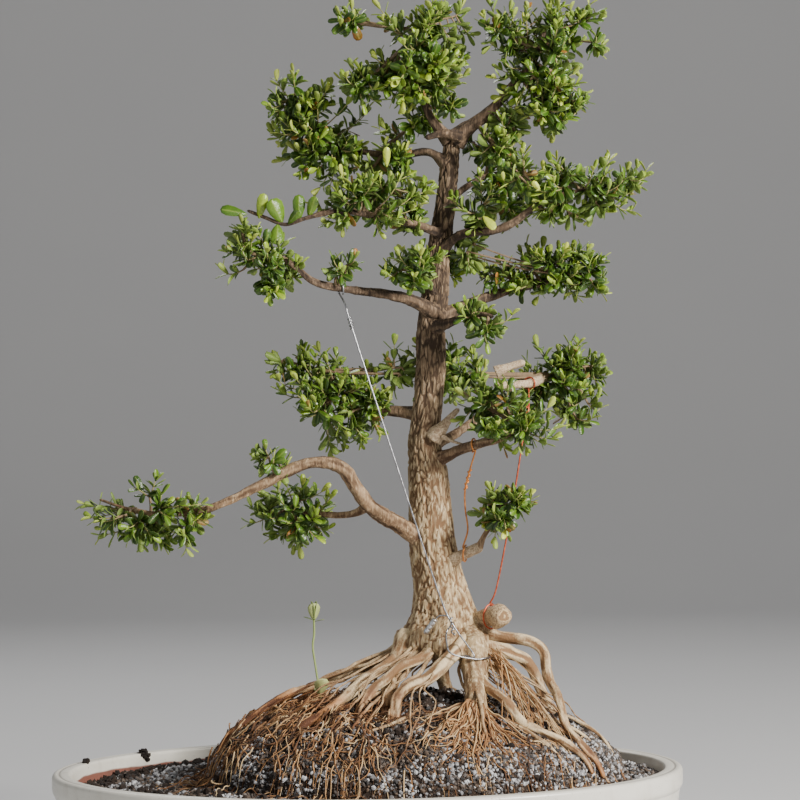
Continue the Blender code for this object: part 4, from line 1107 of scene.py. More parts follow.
# %% One leaf
def leaf_shape(width, fold, bend):
    """A leaf 1 long: half width W t^0.6 sqrt(1 - t^4) / 0.725, lifted by fold |x| and lowered by bend t^2."""
    t = np.array([0.03, 0.22, 0.50, 0.76, 0.94])[:, None]
    turn = (math.pi / 6 + around(6))[None, :]
    side = np.cos(turn) / math.cos(math.pi / 6)
    half = width * t**0.6 * np.sqrt(1 - t**4) / 0.725
    x = half * side
    z = -0.020 * np.sin(turn) * (1 - 0.4 * np.abs(side)) + fold * np.abs(x) - bend * t**2
    grid = np.stack([x, np.broadcast_to(t, x.shape), z], axis=-1)
    across = np.abs(side) * np.ones_like(t)
    upper = np.broadcast_to(0.5 - 0.5 * np.sin(turn), x.shape)
    return grid_surface(grid, (0, 0, 0), (0, 1, -bend), across=across, upper=upper)


LEAVES = [leaf_shape(0.225, 0.20, 0.06), leaf_shape(0.255, 0.28, 0.12), leaf_shape(0.200, 0.14, -0.04)]
BROAD_LEAF = leaf_shape(0.36, 0.12, 0.05)
print("faces in a leaf:", len(LEAVES[0]["quads"]) + len(LEAVES[0]["fans"]))

# %% [markdown]
# ### Leaf finish
#
# The upper side is glossy and dark, lighter on young leaves, with a pale midrib and a thin pale margin. The
# underside is matt and yellower. Every leaf carries a number, its tint: low for an old leaf in the shade,
# high for a fresh one at a shoot's tip. Leaves nearer the middle of a clump get lower tints, partly for the
# darker green of old inner leaves and partly as painted shade. A few very low ones are turning orange.

# %% Leaf finish
leaf_finish = Finish("box_leaves")
tint = leaf_finish.mark("tint")
patch = leaf_finish.noise((0.004, 0.004, 0.004), 3.0)
wax = leaf_finish.noise((0.0015, 0.0015, 0.0015), 2.0)
upper_green = leaf_finish.ramp(tint + (patch - 0.5) * 0.22, [
    (0.00, (0.34, 0.13, 0.025)), (0.05, (0.20, 0.13, 0.020)), (0.10, (0.018, 0.046, 0.006)),
    (0.42, (0.050, 0.118, 0.010)), (0.66, (0.125, 0.230, 0.016)), (0.86, (0.285, 0.400, 0.030)),
    (1.00, (0.500, 0.560, 0.070))])
under_green = leaf_finish.ramp(tint, [
    (0.00, (0.30, 0.15, 0.04)), (0.10, (0.10, 0.16, 0.030)), (0.60, (0.20, 0.295, 0.045)),
    (1.00, (0.42, 0.48, 0.08))])
upper_share = leaf_finish.step(leaf_finish.mark("upper"), 0.40, 0.60)
across_mark = leaf_finish.mark("across")
midrib = (1 - leaf_finish.step(across_mark, 0.05, 0.25)) * 0.20
margin = leaf_finish.step(across_mark, 0.90, 1.0) * 0.18
leaf_colour = leaf_finish.blend(under_green, upper_green, upper_share)
leaf_colour = leaf_finish.blend(leaf_colour, (0.44, 0.50, 0.12), midrib + margin)
leaf_finish.drive("Base Color", leaf_colour)
leaf_finish.drive("Roughness", 0.48 - upper_share * 0.22 + wax * 0.14)
leaf_finish.bump(wax + midrib, 0.0003)

# %% Twig finish
twig_finish = Finish("green_twigs")
young = twig_finish.mark("young")
twig_noise = twig_finish.noise((0.002, 0.002, 0.004), 3.0)
twig_brown = twig_finish.blend((0.10, 0.055, 0.030), (0.34, 0.24, 0.13), twig_noise)
twig_green = twig_finish.blend((0.24, 0.22, 0.06), (0.48, 0.46, 0.18), twig_noise)
twig_finish.drive("Base Color", twig_finish.blend(twig_brown, twig_green, twig_finish.step(young, 0.3, 0.9)))
twig_finish.drive("Roughness", 0.72 - young * 0.2)
twig_finish.bump(twig_noise, 0.0003)

# %% [markdown]
# ### Growing a clump
#
# The tips of the shoots lie on the measured cloud of each clump, which was made to the outline of the tree.
# They gather round a few dozen knots, which gives rosettes and gaps instead of an even ball. Branchlets run
# from the limb to points part of the way out, and each shoot from the nearest of those to its tip. Leaves
# stand on a shoot in opposite pairs, each pair a quarter turn from the last, and close up towards the tip.

# %% Clumps
def spread_over(where, count, chance):
    """Points spread evenly over a measured solid or over an oval (middle, half sizes), and its area."""
    if isinstance(where, str):
        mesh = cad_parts[where].data
        mesh.calc_loop_triangles()
        points = np.empty(len(mesh.vertices) * 3, np.float32)
        mesh.vertices.foreach_get("co", points)
        faces = np.empty(len(mesh.loop_triangles) * 3, np.int32)
        mesh.loop_triangles.foreach_get("vertices", faces)
        corners = points.reshape(-1, 3)[faces.reshape(-1, 3)].astype(float)
        cross = np.cross(corners[:, 1] - corners[:, 0], corners[:, 2] - corners[:, 0])
        area = np.linalg.norm(cross, axis=1) / 2
        picked = corners[chance.choice(len(area), count, p=area / area.sum())]
        a, b = chance.random((2, count, 1))
        a, b = np.where(a + b > 1, 1 - a, a), np.where(a + b > 1, 1 - b, b)
        first, second, third = picked.transpose(1, 0, 2)
        return first + a * (second - first) + b * (third - first), area.sum()
    middle, half = where
    return middle + unit(chance.normal(size=(count, 3))) * half, 4 * math.pi * (half**2).mean()


def limits(where):
    """Low and high corners of a measured solid or of an oval."""
    if isinstance(where, str):
        return tuple(np.array(corner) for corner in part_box(where))
    return where[0] - where[1], where[0] + where[1]


def nearest(points, choices):
    """For each point the number of the choice that lies nearest to it."""
    square = ((points[:, None] - choices[None]) ** 2).sum(-1)
    return square.argmin(axis=1)


# Square metres of a clump's skin to a shoot and to a knot, leaf pairs on a shoot and metres between them.
SHOOT_AREA, KNOT_AREA, PAIRS, PAIR_STEP = 235e-6, 300e-6, 4, 0.0056
BRANCH_ROWS, SHOOT_ROWS = 9, 8
ORANGE_SHARE = 0.012


def clump(where, limb, seed, shoot_area=SHOOT_AREA, leaf=0.0112, droop=0.0, fresh=0.0):
    """Leaves and twigs of one clump: (leaf surface, twig surface).

    leaf is a leaf's usual length in metres. droop lets the leaves hang, and fresh makes them paler."""
    chance = np.random.default_rng(seed)
    low, high = limits(where)
    middle = (low + high) / 2
    _, area = spread_over(where, 4, chance)
    shoots = max(7, round(area / shoot_area))
    knots = spread_over(where, max(6, round(area / KNOT_AREA)), chance)[0]
    spread, _ = spread_over(where, shoots * 4, chance)
    reach = np.sqrt(((spread[:, None] - knots[None]) ** 2).sum(-1).min(axis=1))
    keep = np.argsort(reach + chance.normal(0, 0.0035, len(reach)))[:shoots]
    tips = spread[keep]
    tips = tips + (middle - tips) * chance.uniform(-0.10, 0.34, (shoots, 1))
    tips[:, 2] = np.minimum(tips[:, 2], CAD_BOX[1][2] - 0.006)
    limb_path = LINES[limb][0]
    inner = limb_path[((limb_path > low - 0.006) & (limb_path < high + 0.006)).all(axis=1)]
    inner = inner if len(inner) > 3 else limb_path[-8:]
    branch_count = max(3, shoots // 5)
    some_tips = tips[chance.choice(shoots, branch_count, replace=False)]
    far = middle + (some_tips - middle) * chance.uniform(0.35, 0.62, (branch_count, 1))
    root = inner[nearest(far * 0.7 + middle * 0.3, inner)]
    bow = (root + far) / 2 + chance.normal(0, 0.003, far.shape) + (0, 0, -0.002)
    branch_paths = bend_curve(root, bow, far, np.linspace(0, 1, BRANCH_ROWS))
    branch_radius = np.linspace(0.00125, 0.00070, BRANCH_ROWS)[None]
    branch_radius = branch_radius * chance.uniform(0.75, 1.25, (branch_count, 1))
    nodes = branch_paths[:, 3:].reshape(-1, 3)
    start = nodes[nearest(tips * 0.55 + middle * 0.45, nodes)]
    outward = unit(tips - middle)
    lift = np.array([0, 0, 1.0 - 2 * droop])
    bow = start + (tips - start) * 0.55 + (outward * 0.002 - lift * 0.006 * (1 - np.abs(outward[:, 2:])))
    shoot_paths = bend_curve(start, bow, tips, np.linspace(0, 1, SHOOT_ROWS))
    shoot_radius = evenly(np.linspace(0.00062, 0.00030, SHOOT_ROWS), shoots)
    twigs = joined([
        fine_tubes(branch_paths, branch_radius, 6, young=np.zeros((branch_count, BRANCH_ROWS))),
        fine_tubes(shoot_paths, shoot_radius, 5, young=evenly(np.linspace(0.3, 1.0, SHOOT_ROWS), shoots))])
    length = np.linalg.norm(tips - start, axis=1)
    back = np.minimum(PAIR_STEP * np.arange(PAIRS)[None], 0.85 * length[:, None])
    at = 1 - back / np.maximum(length[:, None], 1e-4)
    t = at[..., None]
    spots = (1 - t) ** 2 * start[:, None] + 2 * t * (1 - t) * bow[:, None] + t**2 * tips[:, None]
    along = unit(2 * (1 - t) * (bow - start)[:, None] + 2 * t * (tips - bow)[:, None])
    along = unit(along + 0.25 * lift)
    frame_side = unit(np.cross(along, (0.3, 0.9, 0.25)))
    frame_other = np.cross(along, frame_side)
    twist = (chance.uniform(0, math.pi, (shoots, 1)) + math.pi / 2 * np.arange(PAIRS)[None]
             + chance.normal(0, 0.22, (shoots, PAIRS)))[..., None]
    side = frame_side * np.cos(twist) + frame_other * np.sin(twist)
    side = np.stack([side, -side], axis=2)
    opening = np.radians(np.linspace(30, 72, PAIRS))[None, :, None]
    opening = (opening + chance.normal(0, 0.22, (shoots, PAIRS, 2)))[..., None]
    along = np.broadcast_to(along[:, :, None], side.shape)
    direction = unit(along * np.cos(opening) + side * np.sin(opening) - (0, 0, 0.5 * droop))
    upper = unit(along * np.sin(opening) - side * np.cos(opening) + 0.45 * np.array([0, 0, 1.0])
                 + chance.normal(0, 0.12, side.shape))
    width = unit(np.cross(direction, upper))
    upper = np.cross(width, direction)
    size = leaf * np.linspace(0.66, 1.0, PAIRS) ** 0.8
    size = size[None, :, None] * chance.normal(1.0, 0.13, (shoots, PAIRS, 2)).clip(0.6, 1.35)
    places = np.broadcast_to(spots[:, :, None], side.shape)
    turns = np.stack([width, direction, upper], axis=-1) * size[..., None, None]
    # Darker leaves nearer a clump's middle: partly old leaves' darker green, partly painted shade.
    outer = np.linalg.norm((places - middle) / (high - low) * 2, axis=-1).clip(0, 1)
    base = 0.20 + 0.34 * outer**2 + fresh + chance.normal(0, 0.07, (shoots, 1, 1))
    tip_tint = np.array([0.26, 0.12] + [0.0] * (PAIRS - 2))[None, :, None]
    tint = base + tip_tint + chance.normal(0, 0.06, outer.shape)
    tint = np.where(chance.random(outer.shape) < ORANGE_SHARE, 0.02, tint.clip(0.10, 1.0))
    kind = chance.integers(0, len(LEAVES), size.shape).ravel()
    whole = []
    for number, shape in enumerate(LEAVES):
        some = kind == number
        whole.append(copies(shape, turns.reshape(-1, 3, 3)[some], places.reshape(-1, 3)[some],
                            tint=tint.ravel()[some]))
    return joined(whole), twigs


CLUMPS = {
    "foliage_low_left": ("limb_low_left", dict(shoot_area=330e-6, droop=0.30, fresh=-0.06)),
    "foliage_low_left_fork": ("limb_low_left_fork", dict(droop=0.1)),
    "foliage_mid_left": ("limb_mid_left", {}),
    "foliage_upper_left": ("limb_upper_left", dict(fresh=-0.02)),
    "foliage_high_left": ("limb_high_left", dict(fresh=0.05, leaf=0.0106)),
    "foliage_top_left": ("limb_top_left", dict(fresh=0.04)),
    "foliage_front": ("limb_front", dict(fresh=0.02)),
    "foliage_sprig_right": ("sprig_right", dict(fresh=0.04)),
    "foliage_lower_right": ("limb_lower_right", {}),
    "foliage_lower_right_rear": ("limb_lower_right_rear", dict(fresh=-0.02)),
    "foliage_mid_right": ("limb_mid_right", dict(fresh=0.06)),
    "foliage_mid_right_front": ("limb_mid_right_front", {}),
    "foliage_upper_right": ("limb_upper_right", dict(fresh=0.06)),
    "foliage_high_right_rear": ("limb_high_right_rear", {}),
    "foliage_top_right": ("limb_top_right", dict(fresh=0.05)),
    "foliage_top_left_leader": ("limb_top_leader", dict(fresh=0.04)),
    "foliage_back_middle": ("limb_back_middle", {}),
    "foliage_back_upper": ("limb_back_upper", {})}
# Middle and half sizes of each oval in millimetres from the crown. Small ovals have fewer shoots.
SMALL_OVAL, SPARSE, TUFT_AREA = 16, 420e-6, 260e-6
TUFTS = {
    "limb_low_left": [((-118, -38, 134), (13, 10, 13)), ((-174, -44, 94), (15, 12, 18))],
    "limb_mid_left": [((-29, 6, 198), (10, 12, 19)), ((-106, 18, 205), (14, 14, 15)),
                      ((-54, 8, 170), (20, 14, 14))],
    "limb_upper_left": [((-67, -36, 268), (11, 9, 12)), ((-136, -46, 284), (14, 12, 14))],
    "limb_high_left": [((-30, -28, 322), (24, 14, 12)), ((-26, -14, 304), (17, 12, 13))],
    "limb_top_left": [((-99, 24, 390), (26, 20, 20)), ((-32, 10, 343), (26, 16, 13)),
                      ((-76, 14, 354), (24, 16, 14)), ((-22, 14, 372), (22, 16, 16))],
    "limb_top_leader": [((-62, -4, 441), (13, 11, 12)), ((-46, 0, 396), (24, 18, 20)),
                        ((8, -8, 436), (24, 18, 16)), ((10, -14, 388), (22, 15, 22))],
    "limb_high_right_rear": [((34, 20, 352), (20, 16, 13))],
    "limb_upper_right": [((27, -18, 312), (20, 13, 18)), ((126, -22, 331), (18, 14, 12)),
                         ((60, -26, 330), (20, 15, 14)), ((84, -20, 306), (18, 12, 10))],
    "limb_top_right": [((83, -12, 379), (24, 18, 20)), ((103, -12, 430), (15, 14, 18)),
                       ((46, -8, 432), (18, 16, 18)), ((52, -10, 368), (24, 17, 17)),
                       ((44, -16, 350), (22, 13, 13))],
    "limb_mid_right": [((104, 10, 263), (16, 14, 18)), ((46, 14, 262), (18, 14, 12)),
                       ((26, 2, 279), (16, 12, 12))],
    "limb_lower_right_rear": [((102, 40, 196), (20, 16, 17)), ((97, 34, 168), (16, 14, 14)),
                              ((20, 20, 193), (12, 10, 16))],
    "limb_lower_right": [((56, -36, 156), (24, 16, 16)), ((20, -20, 176), (14, 10, 15))],
    "sprig_right": [((27, -24, 102), (13, 11, 15))]}
twig_shapes = []
for number, (name, (limb, habit)) in enumerate(CLUMPS.items()):
    leaves, twigs = clump(name, limb, 700 + number, **habit)
    piece(name.replace("foliage", "leaves"), leaves, leaf_finish, [name])
    twig_shapes.append(twigs)
for number, (limb, tufts) in enumerate(TUFTS.items()):
    grown = [clump((from_crown([middle])[0], np.array(half) * MM), limb, 800 + 10 * number + k,
                   shoot_area=SPARSE if max(half) < SMALL_OVAL else TUFT_AREA, fresh=0.03)
             for k, (middle, half) in enumerate(tufts)]
    tuft_leaves = joined([leaves for leaves, _ in grown])
    piece("tufts_" + limb.replace("limb_", ""), tuft_leaves, leaf_finish)
    twig_shapes.extend(twigs for _, twigs in grown)
piece("twigs", joined(twig_shapes), twig_finish)

# %% [markdown]
# ### Broad leaves at one tip
#
# The limb that reaches out high on the left ends in a few leaves up to twice the size of the others. Each
# stands from its foot along a line, and shows its upper side to the front.

# %% Broad leaves
def facing(direction, upper):
    """The turn that lays a leaf along one direction with its upper side towards another."""
    return np.stack([np.cross(direction, upper), direction, upper], -1)


FRONT = np.array([0.15, -1.0, 0.35])
# Foot and reach in millimetres, tint, and which leaf, where 3 is the broad one.
BROAD = [((-132, -41, 304), (-18, -3, 4), 0.46, 0), ((-124, -41, 301), (4, -4, 17), 0.84, 0),
         ((-108, -41, 298), (-7, -5, 16), 0.60, 3), ((-111, -42, 297), (-1, -6, -14), 0.58, 3),
         ((-97, -40, 299), (1, -3, 18), 0.50, 1), ((-119, -45, 279), (1, -3, 15), 0.40, 2),
         ((-90, -40, 302), (5, -6, 13), 0.66, 1), ((-104, -42, 297), (8, -7, 9), 0.52, 0),
         ((-36, -30, 336), (0, -4, 14), 0.95, 2), ((30, -24, 302), (8, -6, -9), 0.95, 1)]
broad_shapes = []
for foot, reach, tint_value, kind in BROAD:
    direction = unit(np.array(reach, float))
    upper = unit(FRONT - direction * (direction @ FRONT))
    turn = facing(direction, upper) * np.linalg.norm(reach) * MM
    shape = [*LEAVES, BROAD_LEAF][kind]
    broad_shapes.append(copies(shape, turn[None], from_crown([foot]), tint=np.array([tint_value])))
piece("broad_leaves", joined(broad_shapes), leaf_finish)

# %% [markdown]
# ## Grit, litter and hair roots
#
# The grit is crushed stone, sieved to between one and four millimetres. A stone is an icosahedron whose
# corners are moved by chance, flat on every face. Five stones make thousands when each copy is turned, sized
# and coloured by its own numbers.

# %% Stones
GOLD = (1 + math.sqrt(5)) / 2
STONE_SHAPES, BED_COUNT, HILL_TRIES, BRINK_COUNT, PIECE_COUNT = 5, 7600, 90000, 2600, 8500
corners = np.array([
    (-1, GOLD, 0), (1, GOLD, 0), (-1, -GOLD, 0), (1, -GOLD, 0), (0, -1, GOLD), (0, 1, GOLD),
    (0, -1, -GOLD), (0, 1, -GOLD), (GOLD, 0, -1), (GOLD, 0, 1), (-GOLD, 0, -1), (-GOLD, 0, 1)])
stone_faces = np.array([
    (0, 11, 5), (0, 5, 1), (0, 1, 7), (0, 7, 10), (0, 10, 11), (1, 5, 9), (5, 11, 4), (11, 10, 2), (10, 7, 6),
    (7, 1, 8), (3, 9, 4), (3, 4, 2), (3, 2, 6), (3, 6, 8), (3, 8, 9), (4, 9, 5), (2, 4, 11), (6, 2, 10),
    (8, 6, 7), (9, 8, 1)])
spot = np.stack([np.arange(20) % 5, np.arange(20) // 5], -1)[:, None]
stone_map = (spot + np.array([(0.1, 0.1), (0.9, 0.1), (0.5, 0.9)])) / 5
chance = np.random.default_rng(90)
STONES = [
    {"points": unit(corners) * chance.uniform(0.72, 1.22, (12, 1)) * chance.uniform(0.7, 1.1, 3),
     "quads": np.zeros((0, 4), int), "fans": stone_faces, "quad_map": np.zeros((0, 4, 2)),
     "fan_map": stone_map, "marks": {}} for _ in range(STONE_SHAPES)]


def turned(count, chance):
    """Rotation matrices from evenly spread unit quaternions."""
    w, x, y, z = unit(chance.normal(size=(count, 4))).T
    return np.stack([
        np.stack([1 - 2 * (y * y + z * z), 2 * (x * y - w * z), 2 * (x * z + w * y)], -1),
        np.stack([2 * (x * y + w * z), 1 - 2 * (x * x + z * z), 2 * (y * z - w * x)], -1),
        np.stack([2 * (x * z - w * y), 2 * (y * z + w * x), 1 - 2 * (x * x + y * y)], -1)], 1)


def strewn(x, y, low, high, shades, seed, sink=0.15):
    """Stones on the ground at x, y, with radii from low to high, mostly small ones.

    shades says how common each shade is, from the darkest to the palest."""
    chance = np.random.default_rng(seed)
    count = len(x)
    size = low + (high - low) * chance.random(count) ** 2.2
    places = np.column_stack([x, y, ground(x, y) + size * (0.5 - sink) + 0.0004])
    turns = turned(count, chance) * size[:, None, None]
    shade = chance.choice(len(shades), count, p=np.array(shades) / sum(shades))
    shade = shade / (len(shades) - 1)
    patch = lattice_noise(places, 0.019, seed + 50) + 0.4 * lattice_noise(places, 0.007, seed + 60)
    shade = shade * (0.30 + 0.70 * smooth_step(-0.28, 0.10, patch))
    kind = chance.integers(0, STONE_SHAPES, count)
    return joined([copies(stone, turns[kind == n], places[kind == n], shade=shade[kind == n],
                          tone=chance.random((kind == n).sum())) for n, stone in enumerate(STONES)])


stone_finish = Finish("crushed_stone")
shade_mark = stone_finish.mark("shade")
tone_mark = stone_finish.mark("tone")
stone_grain = stone_finish.noise((0.0009, 0.0009, 0.0009), 3.0)
stone_colour = stone_finish.ramp(shade_mark, [
    (0.0, (0.030, 0.028, 0.030)), (0.25, (0.13, 0.085, 0.055)), (0.50, (0.22, 0.215, 0.22)),
    (0.75, (0.43, 0.43, 0.45)), (1.0, (0.66, 0.66, 0.67))])
dusty = stone_finish.step(stone_grain, 0.45, 0.75) * 0.5
stone_colour = stone_finish.blend(stone_colour, (0.20, 0.17, 0.14), dusty)
stone_colour = stone_finish.blend(stone_colour, (0.02, 0.02, 0.02), tone_mark * 0.25)
stone_finish.drive("Base Color", stone_colour)
stone_finish.drive("Roughness", 0.62 + stone_grain * 0.3)
stone_finish.bump(stone_grain, 0.0004)
chance = np.random.default_rng(91)
x = chance.uniform(-EDGE_HALF, EDGE_HALF, 60000)
y = chance.uniform(-EDGE_HALF, EDGE_HALF, 60000) * OVAL
wall_share = np.hypot(x, y / OVAL) / EDGE_HALF
on_bed = (hill_share(x, y) > 0.965) & (wall_share < 0.985)
bed_stones = strewn(
    x[on_bed][:BED_COUNT], y[on_bed][:BED_COUNT], 0.0008, 0.0022, (20, 14, 20, 22, 24), 92)
piece("bed_stones", bed_stones, stone_finish, sharp=0)
x = chance.uniform(-1, 1, HILL_TRIES) * HILL_HALF[0] + HILL[0]
y = chance.uniform(-1, 1, HILL_TRIES) * HILL_HALF[1] + HILL[1]
share = hill_share(x, y)
drift = lattice_noise(np.stack([x, y, 0 * x], -1), 0.034, 93)
bright_front = np.exp(-(((x - 0.020) / 0.050) ** 2 + ((y + 0.085) / 0.022) ** 2) * 1.6)
bright_right = np.exp(-(((x - 0.118) / 0.040) ** 2 + ((y + 0.062) / 0.035) ** 2) * 1.6)
right_slope = smooth_step(0.10, 0.15, x) * 0.7
in_front = smooth_step(0.02, -0.03, y)
left_tangle = smooth_step(0.0, -0.05, x) * smooth_step(0.55, 0.70, share) * 0.5
amount = (0.10 + 0.75 * np.maximum(bright_front, bright_right) + 0.40 * right_slope + 0.22 * (drift > 0.0)
          + 0.80 * smooth_step(0.72, 0.95, share)) * (0.60 + 0.40 * in_front) * (1 - left_tangle) * 0.62
chosen = (share < 0.990) & (chance.random(HILL_TRIES) < amount)
x, y = x[chosen], y[chosen]
print("stones on the hill:", len(x))
brink = chance.uniform(math.radians(170), math.radians(370), BRINK_COUNT)
steep = np.sqrt(1 - chance.uniform(0.02, 0.42, BRINK_COUNT) ** 2)
x = np.concatenate([HILL[0] + HILL_HALF[0] * steep * np.cos(brink), x])
y = np.concatenate([HILL[1] + HILL_HALF[1] * steep * np.sin(brink), y])
for start, name in ((0, "hill_stones"), (PIECE_COUNT, "hill_stones_more")):
    part = slice(start, start + PIECE_COUNT)
    stones = strewn(x[part], y[part], 0.0006, 0.0021, (24, 20, 18, 18, 20), 94 + start)
    piece(name, stones, stone_finish, sharp=0)

# %% [markdown]
# ### Hair roots and litter
#
# Hair roots creep over the soil: each takes small steps downhill, turns a little at every step and keeps just
# above the ground. Under the front root they spread out like a broom. Straw-thin ones hang in a bundle from
# the arch on the right. Old bark crumbs lie along the wall at the left, and a few have stuck on the rim.

# %% Hair roots
HAIR_ROWS = 16


def creeping(x, y, heading, length, lift, wobble, hop, chance):
    """Paths [piece, row] of steps over the ground, starting lift above it and settling as (1 - t)^2.

    wobble is the turn at each step in radians, and hop the height of the arches."""
    count, rows = len(x), HAIR_ROWS
    turn = heading[:, None] + np.cumsum(chance.normal(0, wobble, (count, rows)), axis=1)
    pace = (length / rows)[:, None]
    px = x[:, None] + np.cumsum(np.cos(turn) * pace, axis=1)
    py = y[:, None] + np.cumsum(np.sin(turn) * pace, axis=1)
    px, py = kept_inside(px, py)
    t = np.linspace(0, 1, rows)[None]
    arch = np.abs(rough(np.stack([px, py, 0 * px], -1), 0.014, 120, 2)) * hop
    return np.stack([px, py, ground(px, py) + 0.0006 + lift[:, None] * (1 - t) ** 2 + arch], axis=-1)


def hairs(paths, thick, chance):
    """Tapering hair roots, each with one lightness of its own."""
    count, rows = paths.shape[:2]
    radius = np.linspace(1.0, 0.45, rows)[None] * chance.uniform(0.6, 1.25, (count, 1)) * thick
    light = chance.random((count, 1)) * np.ones((1, rows))
    return fine_tubes(paths, radius, 5, light=light)


chance = np.random.default_rng(130)
count = 540
angle = chance.uniform(math.radians(150), math.radians(262), count)
reach = chance.uniform(0.30, 0.95, count)
x = HILL[0] - 0.010 + HILL_HALF[0] * reach * np.cos(angle)
y = HILL[1] + HILL_HALF[1] * reach * np.sin(angle)
heading = angle + chance.normal(0, 0.9, count)
length = chance.uniform(0.014, 0.048, count)
lift = 0.008 * chance.random(count) ** 2
left_hairs = hairs(creeping(x, y, heading, length, lift, 0.34, 0.0050, chance), 0.00050, chance)
count = 150
angle = chance.uniform(math.radians(222), math.radians(318), count)
x = 0.076 + 0.006 * np.cos(angle)
y = -0.058 + 0.006 * np.sin(angle)
length = chance.uniform(0.018, 0.064, count)
lift = chance.uniform(0.002, 0.010, count)
fan_hairs = hairs(creeping(x, y, angle, length, lift, 0.24, 0.0030, chance), 0.00060, chance)
count = 230
x = chance.uniform(-0.030, 0.165, count)
y = -chance.uniform(0.050, 0.118, count)
heading = np.arctan2(y - HILL[1], x - HILL[0]) + chance.normal(0, 0.8, count)
length = chance.uniform(0.012, 0.044, count)
lift = 0.003 * chance.random(count)
right_hairs = hairs(creeping(x, y, heading, length, lift, 0.38, 0.0030, chance), 0.00046, chance)
count = 46
start = np.column_stack([chance.uniform(0.084, 0.094, count), chance.uniform(-0.034, -0.026, count),
                         chance.uniform(0.166, 0.180, count)])
end_x, end_y = chance.uniform(0.090, 0.142, count), chance.uniform(-0.074, -0.050, count)
end = np.column_stack([end_x, end_y, ground(end_x, end_y)])
bow = (start + end) / 2 + chance.normal(0, 0.007, (count, 3)) + (0.004, -0.006, 0.004)
straw = hairs(bend_curve(start, bow, end, np.linspace(0, 1, HAIR_ROWS)), 0.00050, chance)
hair_finish = Finish("hair_roots", Roughness=0.85)
hair_light = hair_finish.mark("light")
hair_noise = hair_finish.noise((0.0015, 0.0015, 0.0015), 3.0)
hair_colour = hair_finish.ramp(hair_light + (hair_noise - 0.5) * 0.4, [
    (0.0, (0.050, 0.024, 0.013)), (0.40, (0.19, 0.085, 0.033)), (0.70, (0.42, 0.215, 0.085)),
    (1.0, (0.64, 0.47, 0.26))])
hair_finish.drive("Base Color", hair_colour)
hair_finish.bump(hair_noise, 0.0003)
straw["marks"]["light"] = 0.45 + 0.55 * straw["marks"]["light"]
fan_hairs["marks"]["light"] = 0.25 + 0.75 * fan_hairs["marks"]["light"]
piece("hair_roots", joined([left_hairs, fan_hairs, right_hairs]), hair_finish)
piece("straw_roots", straw, hair_finish)

# %% Thin roots from the crown
LEFT_COUNT, RIGHT_COUNT, THIN_ROWS = 34, 24, 30
chance = np.random.default_rng(160)
count = LEFT_COUNT + RIGHT_COUNT
angle = np.concatenate([chance.uniform(math.radians(150), math.radians(285), LEFT_COUNT),
                        chance.uniform(math.radians(285), math.radians(400), RIGHT_COUNT)])
from_x, from_y = CROWN[0] + 0.021 * np.cos(angle), 0.020 * np.sin(angle)
from_z = CROWN[2] + chance.uniform(-0.006, 0.010, count)
reach = chance.uniform(0.52, 0.90, count)
swing = angle + chance.normal(0, 0.22, count)
to_x = HILL[0] + HILL_HALF[0] * reach * np.cos(swing)
to_y = HILL[1] + HILL_HALF[1] * reach * np.sin(swing)
t = np.linspace(0, 1, THIN_ROWS)[None]
px = from_x[:, None] * (1 - t) + to_x[:, None] * t
py = from_y[:, None] * (1 - t) + to_y[:, None] * t
sway = np.stack([rough(np.stack([t * 0.05 + k, t * 0 + k, t * 0], -1), 0.017, 161 + axis, 2)[0]
                 for axis in (0, 1) for k in range(count)]).reshape(2, count, THIN_ROWS)
px = px + 0.0095 * sway[0] * np.sin(math.pi * t)
py = py + 0.0095 * sway[1] * np.sin(math.pi * t)
bed_z = ground(px, py) + 0.0010
arch = np.maximum(from_z[:, None] * (1 - t) ** 1.3 + bed_z * (1 - (1 - t) ** 1.3), bed_z)
arch[:, -3:] -= np.array([0.001, 0.003, 0.006])
thin_paths = np.stack([px, py, arch], -1)
thickness = (0.0006 + 0.0015 * chance.random((count, 1)) ** 2) * np.linspace(1.15, 0.5, THIN_ROWS)[None]
knobbly = 1 + 0.16 * rough(thin_paths, 0.006, 165, 2)
thin_roots = fine_tubes(thin_paths, thickness * knobbly, 10, share=t * np.ones((count, 1)),
                        plate=0.35 + 0.3 * chance.random((count, THIN_ROWS)))
piece("thin_roots", thin_roots, root_bark)

# %% Litter
WALL_COUNT, HEAP_COUNT, LOOSE_COUNT = 900, 120, 500
# Middle, half size of the patch and number of crumbs for each of two places on the rim.
RIM_PATCHES = [((-0.2022, 0.0440, 0.0935), (0.0014, 0.0030, 0.0040), 26),
               ((-0.1660, 0.0950, 0.0935), (0.0044, 0.0022, 0.0042), 34)]
RIM_COUNT = sum(patch[2] for patch in RIM_PATCHES)
chance = np.random.default_rng(140)
round_wall = chance.uniform(math.radians(100), math.radians(188), WALL_COUNT)
near_wall = EDGE_HALF * chance.uniform(0.90, 1.0, WALL_COUNT)
x = np.concatenate([near_wall * np.cos(round_wall),
                    chance.normal(-0.150, 0.010, HEAP_COUNT), chance.uniform(-0.12, 0.16, LOOSE_COUNT)])
y = np.concatenate([near_wall * np.sin(round_wall) * OVAL,
                    chance.normal(-0.030, 0.018, HEAP_COUNT), chance.uniform(-0.11, 0.02, LOOSE_COUNT)])
x, y = kept_inside(x, y)
litter_finish = Finish("bark_crumbs", Roughness=0.95)
crumb_tone = litter_finish.mark("tone")
crumb_noise = litter_finish.noise((0.0012, 0.0012, 0.0012), 4.0)
litter_finish.drive("Base Color", litter_finish.blend(
    (0.004, 0.003, 0.003), (0.030, 0.017, 0.010), crumb_tone * 0.7 + crumb_noise * 0.4))
litter_finish.bump(crumb_noise, 0.0008)
crumbs = strewn(x, y, 0.0010, 0.0036, (1, 1), 141, sink=0.05)
on_rim = np.concatenate([
    chance.uniform(-1, 1, (count, 3)) * half + middle for middle, half, count in RIM_PATCHES])
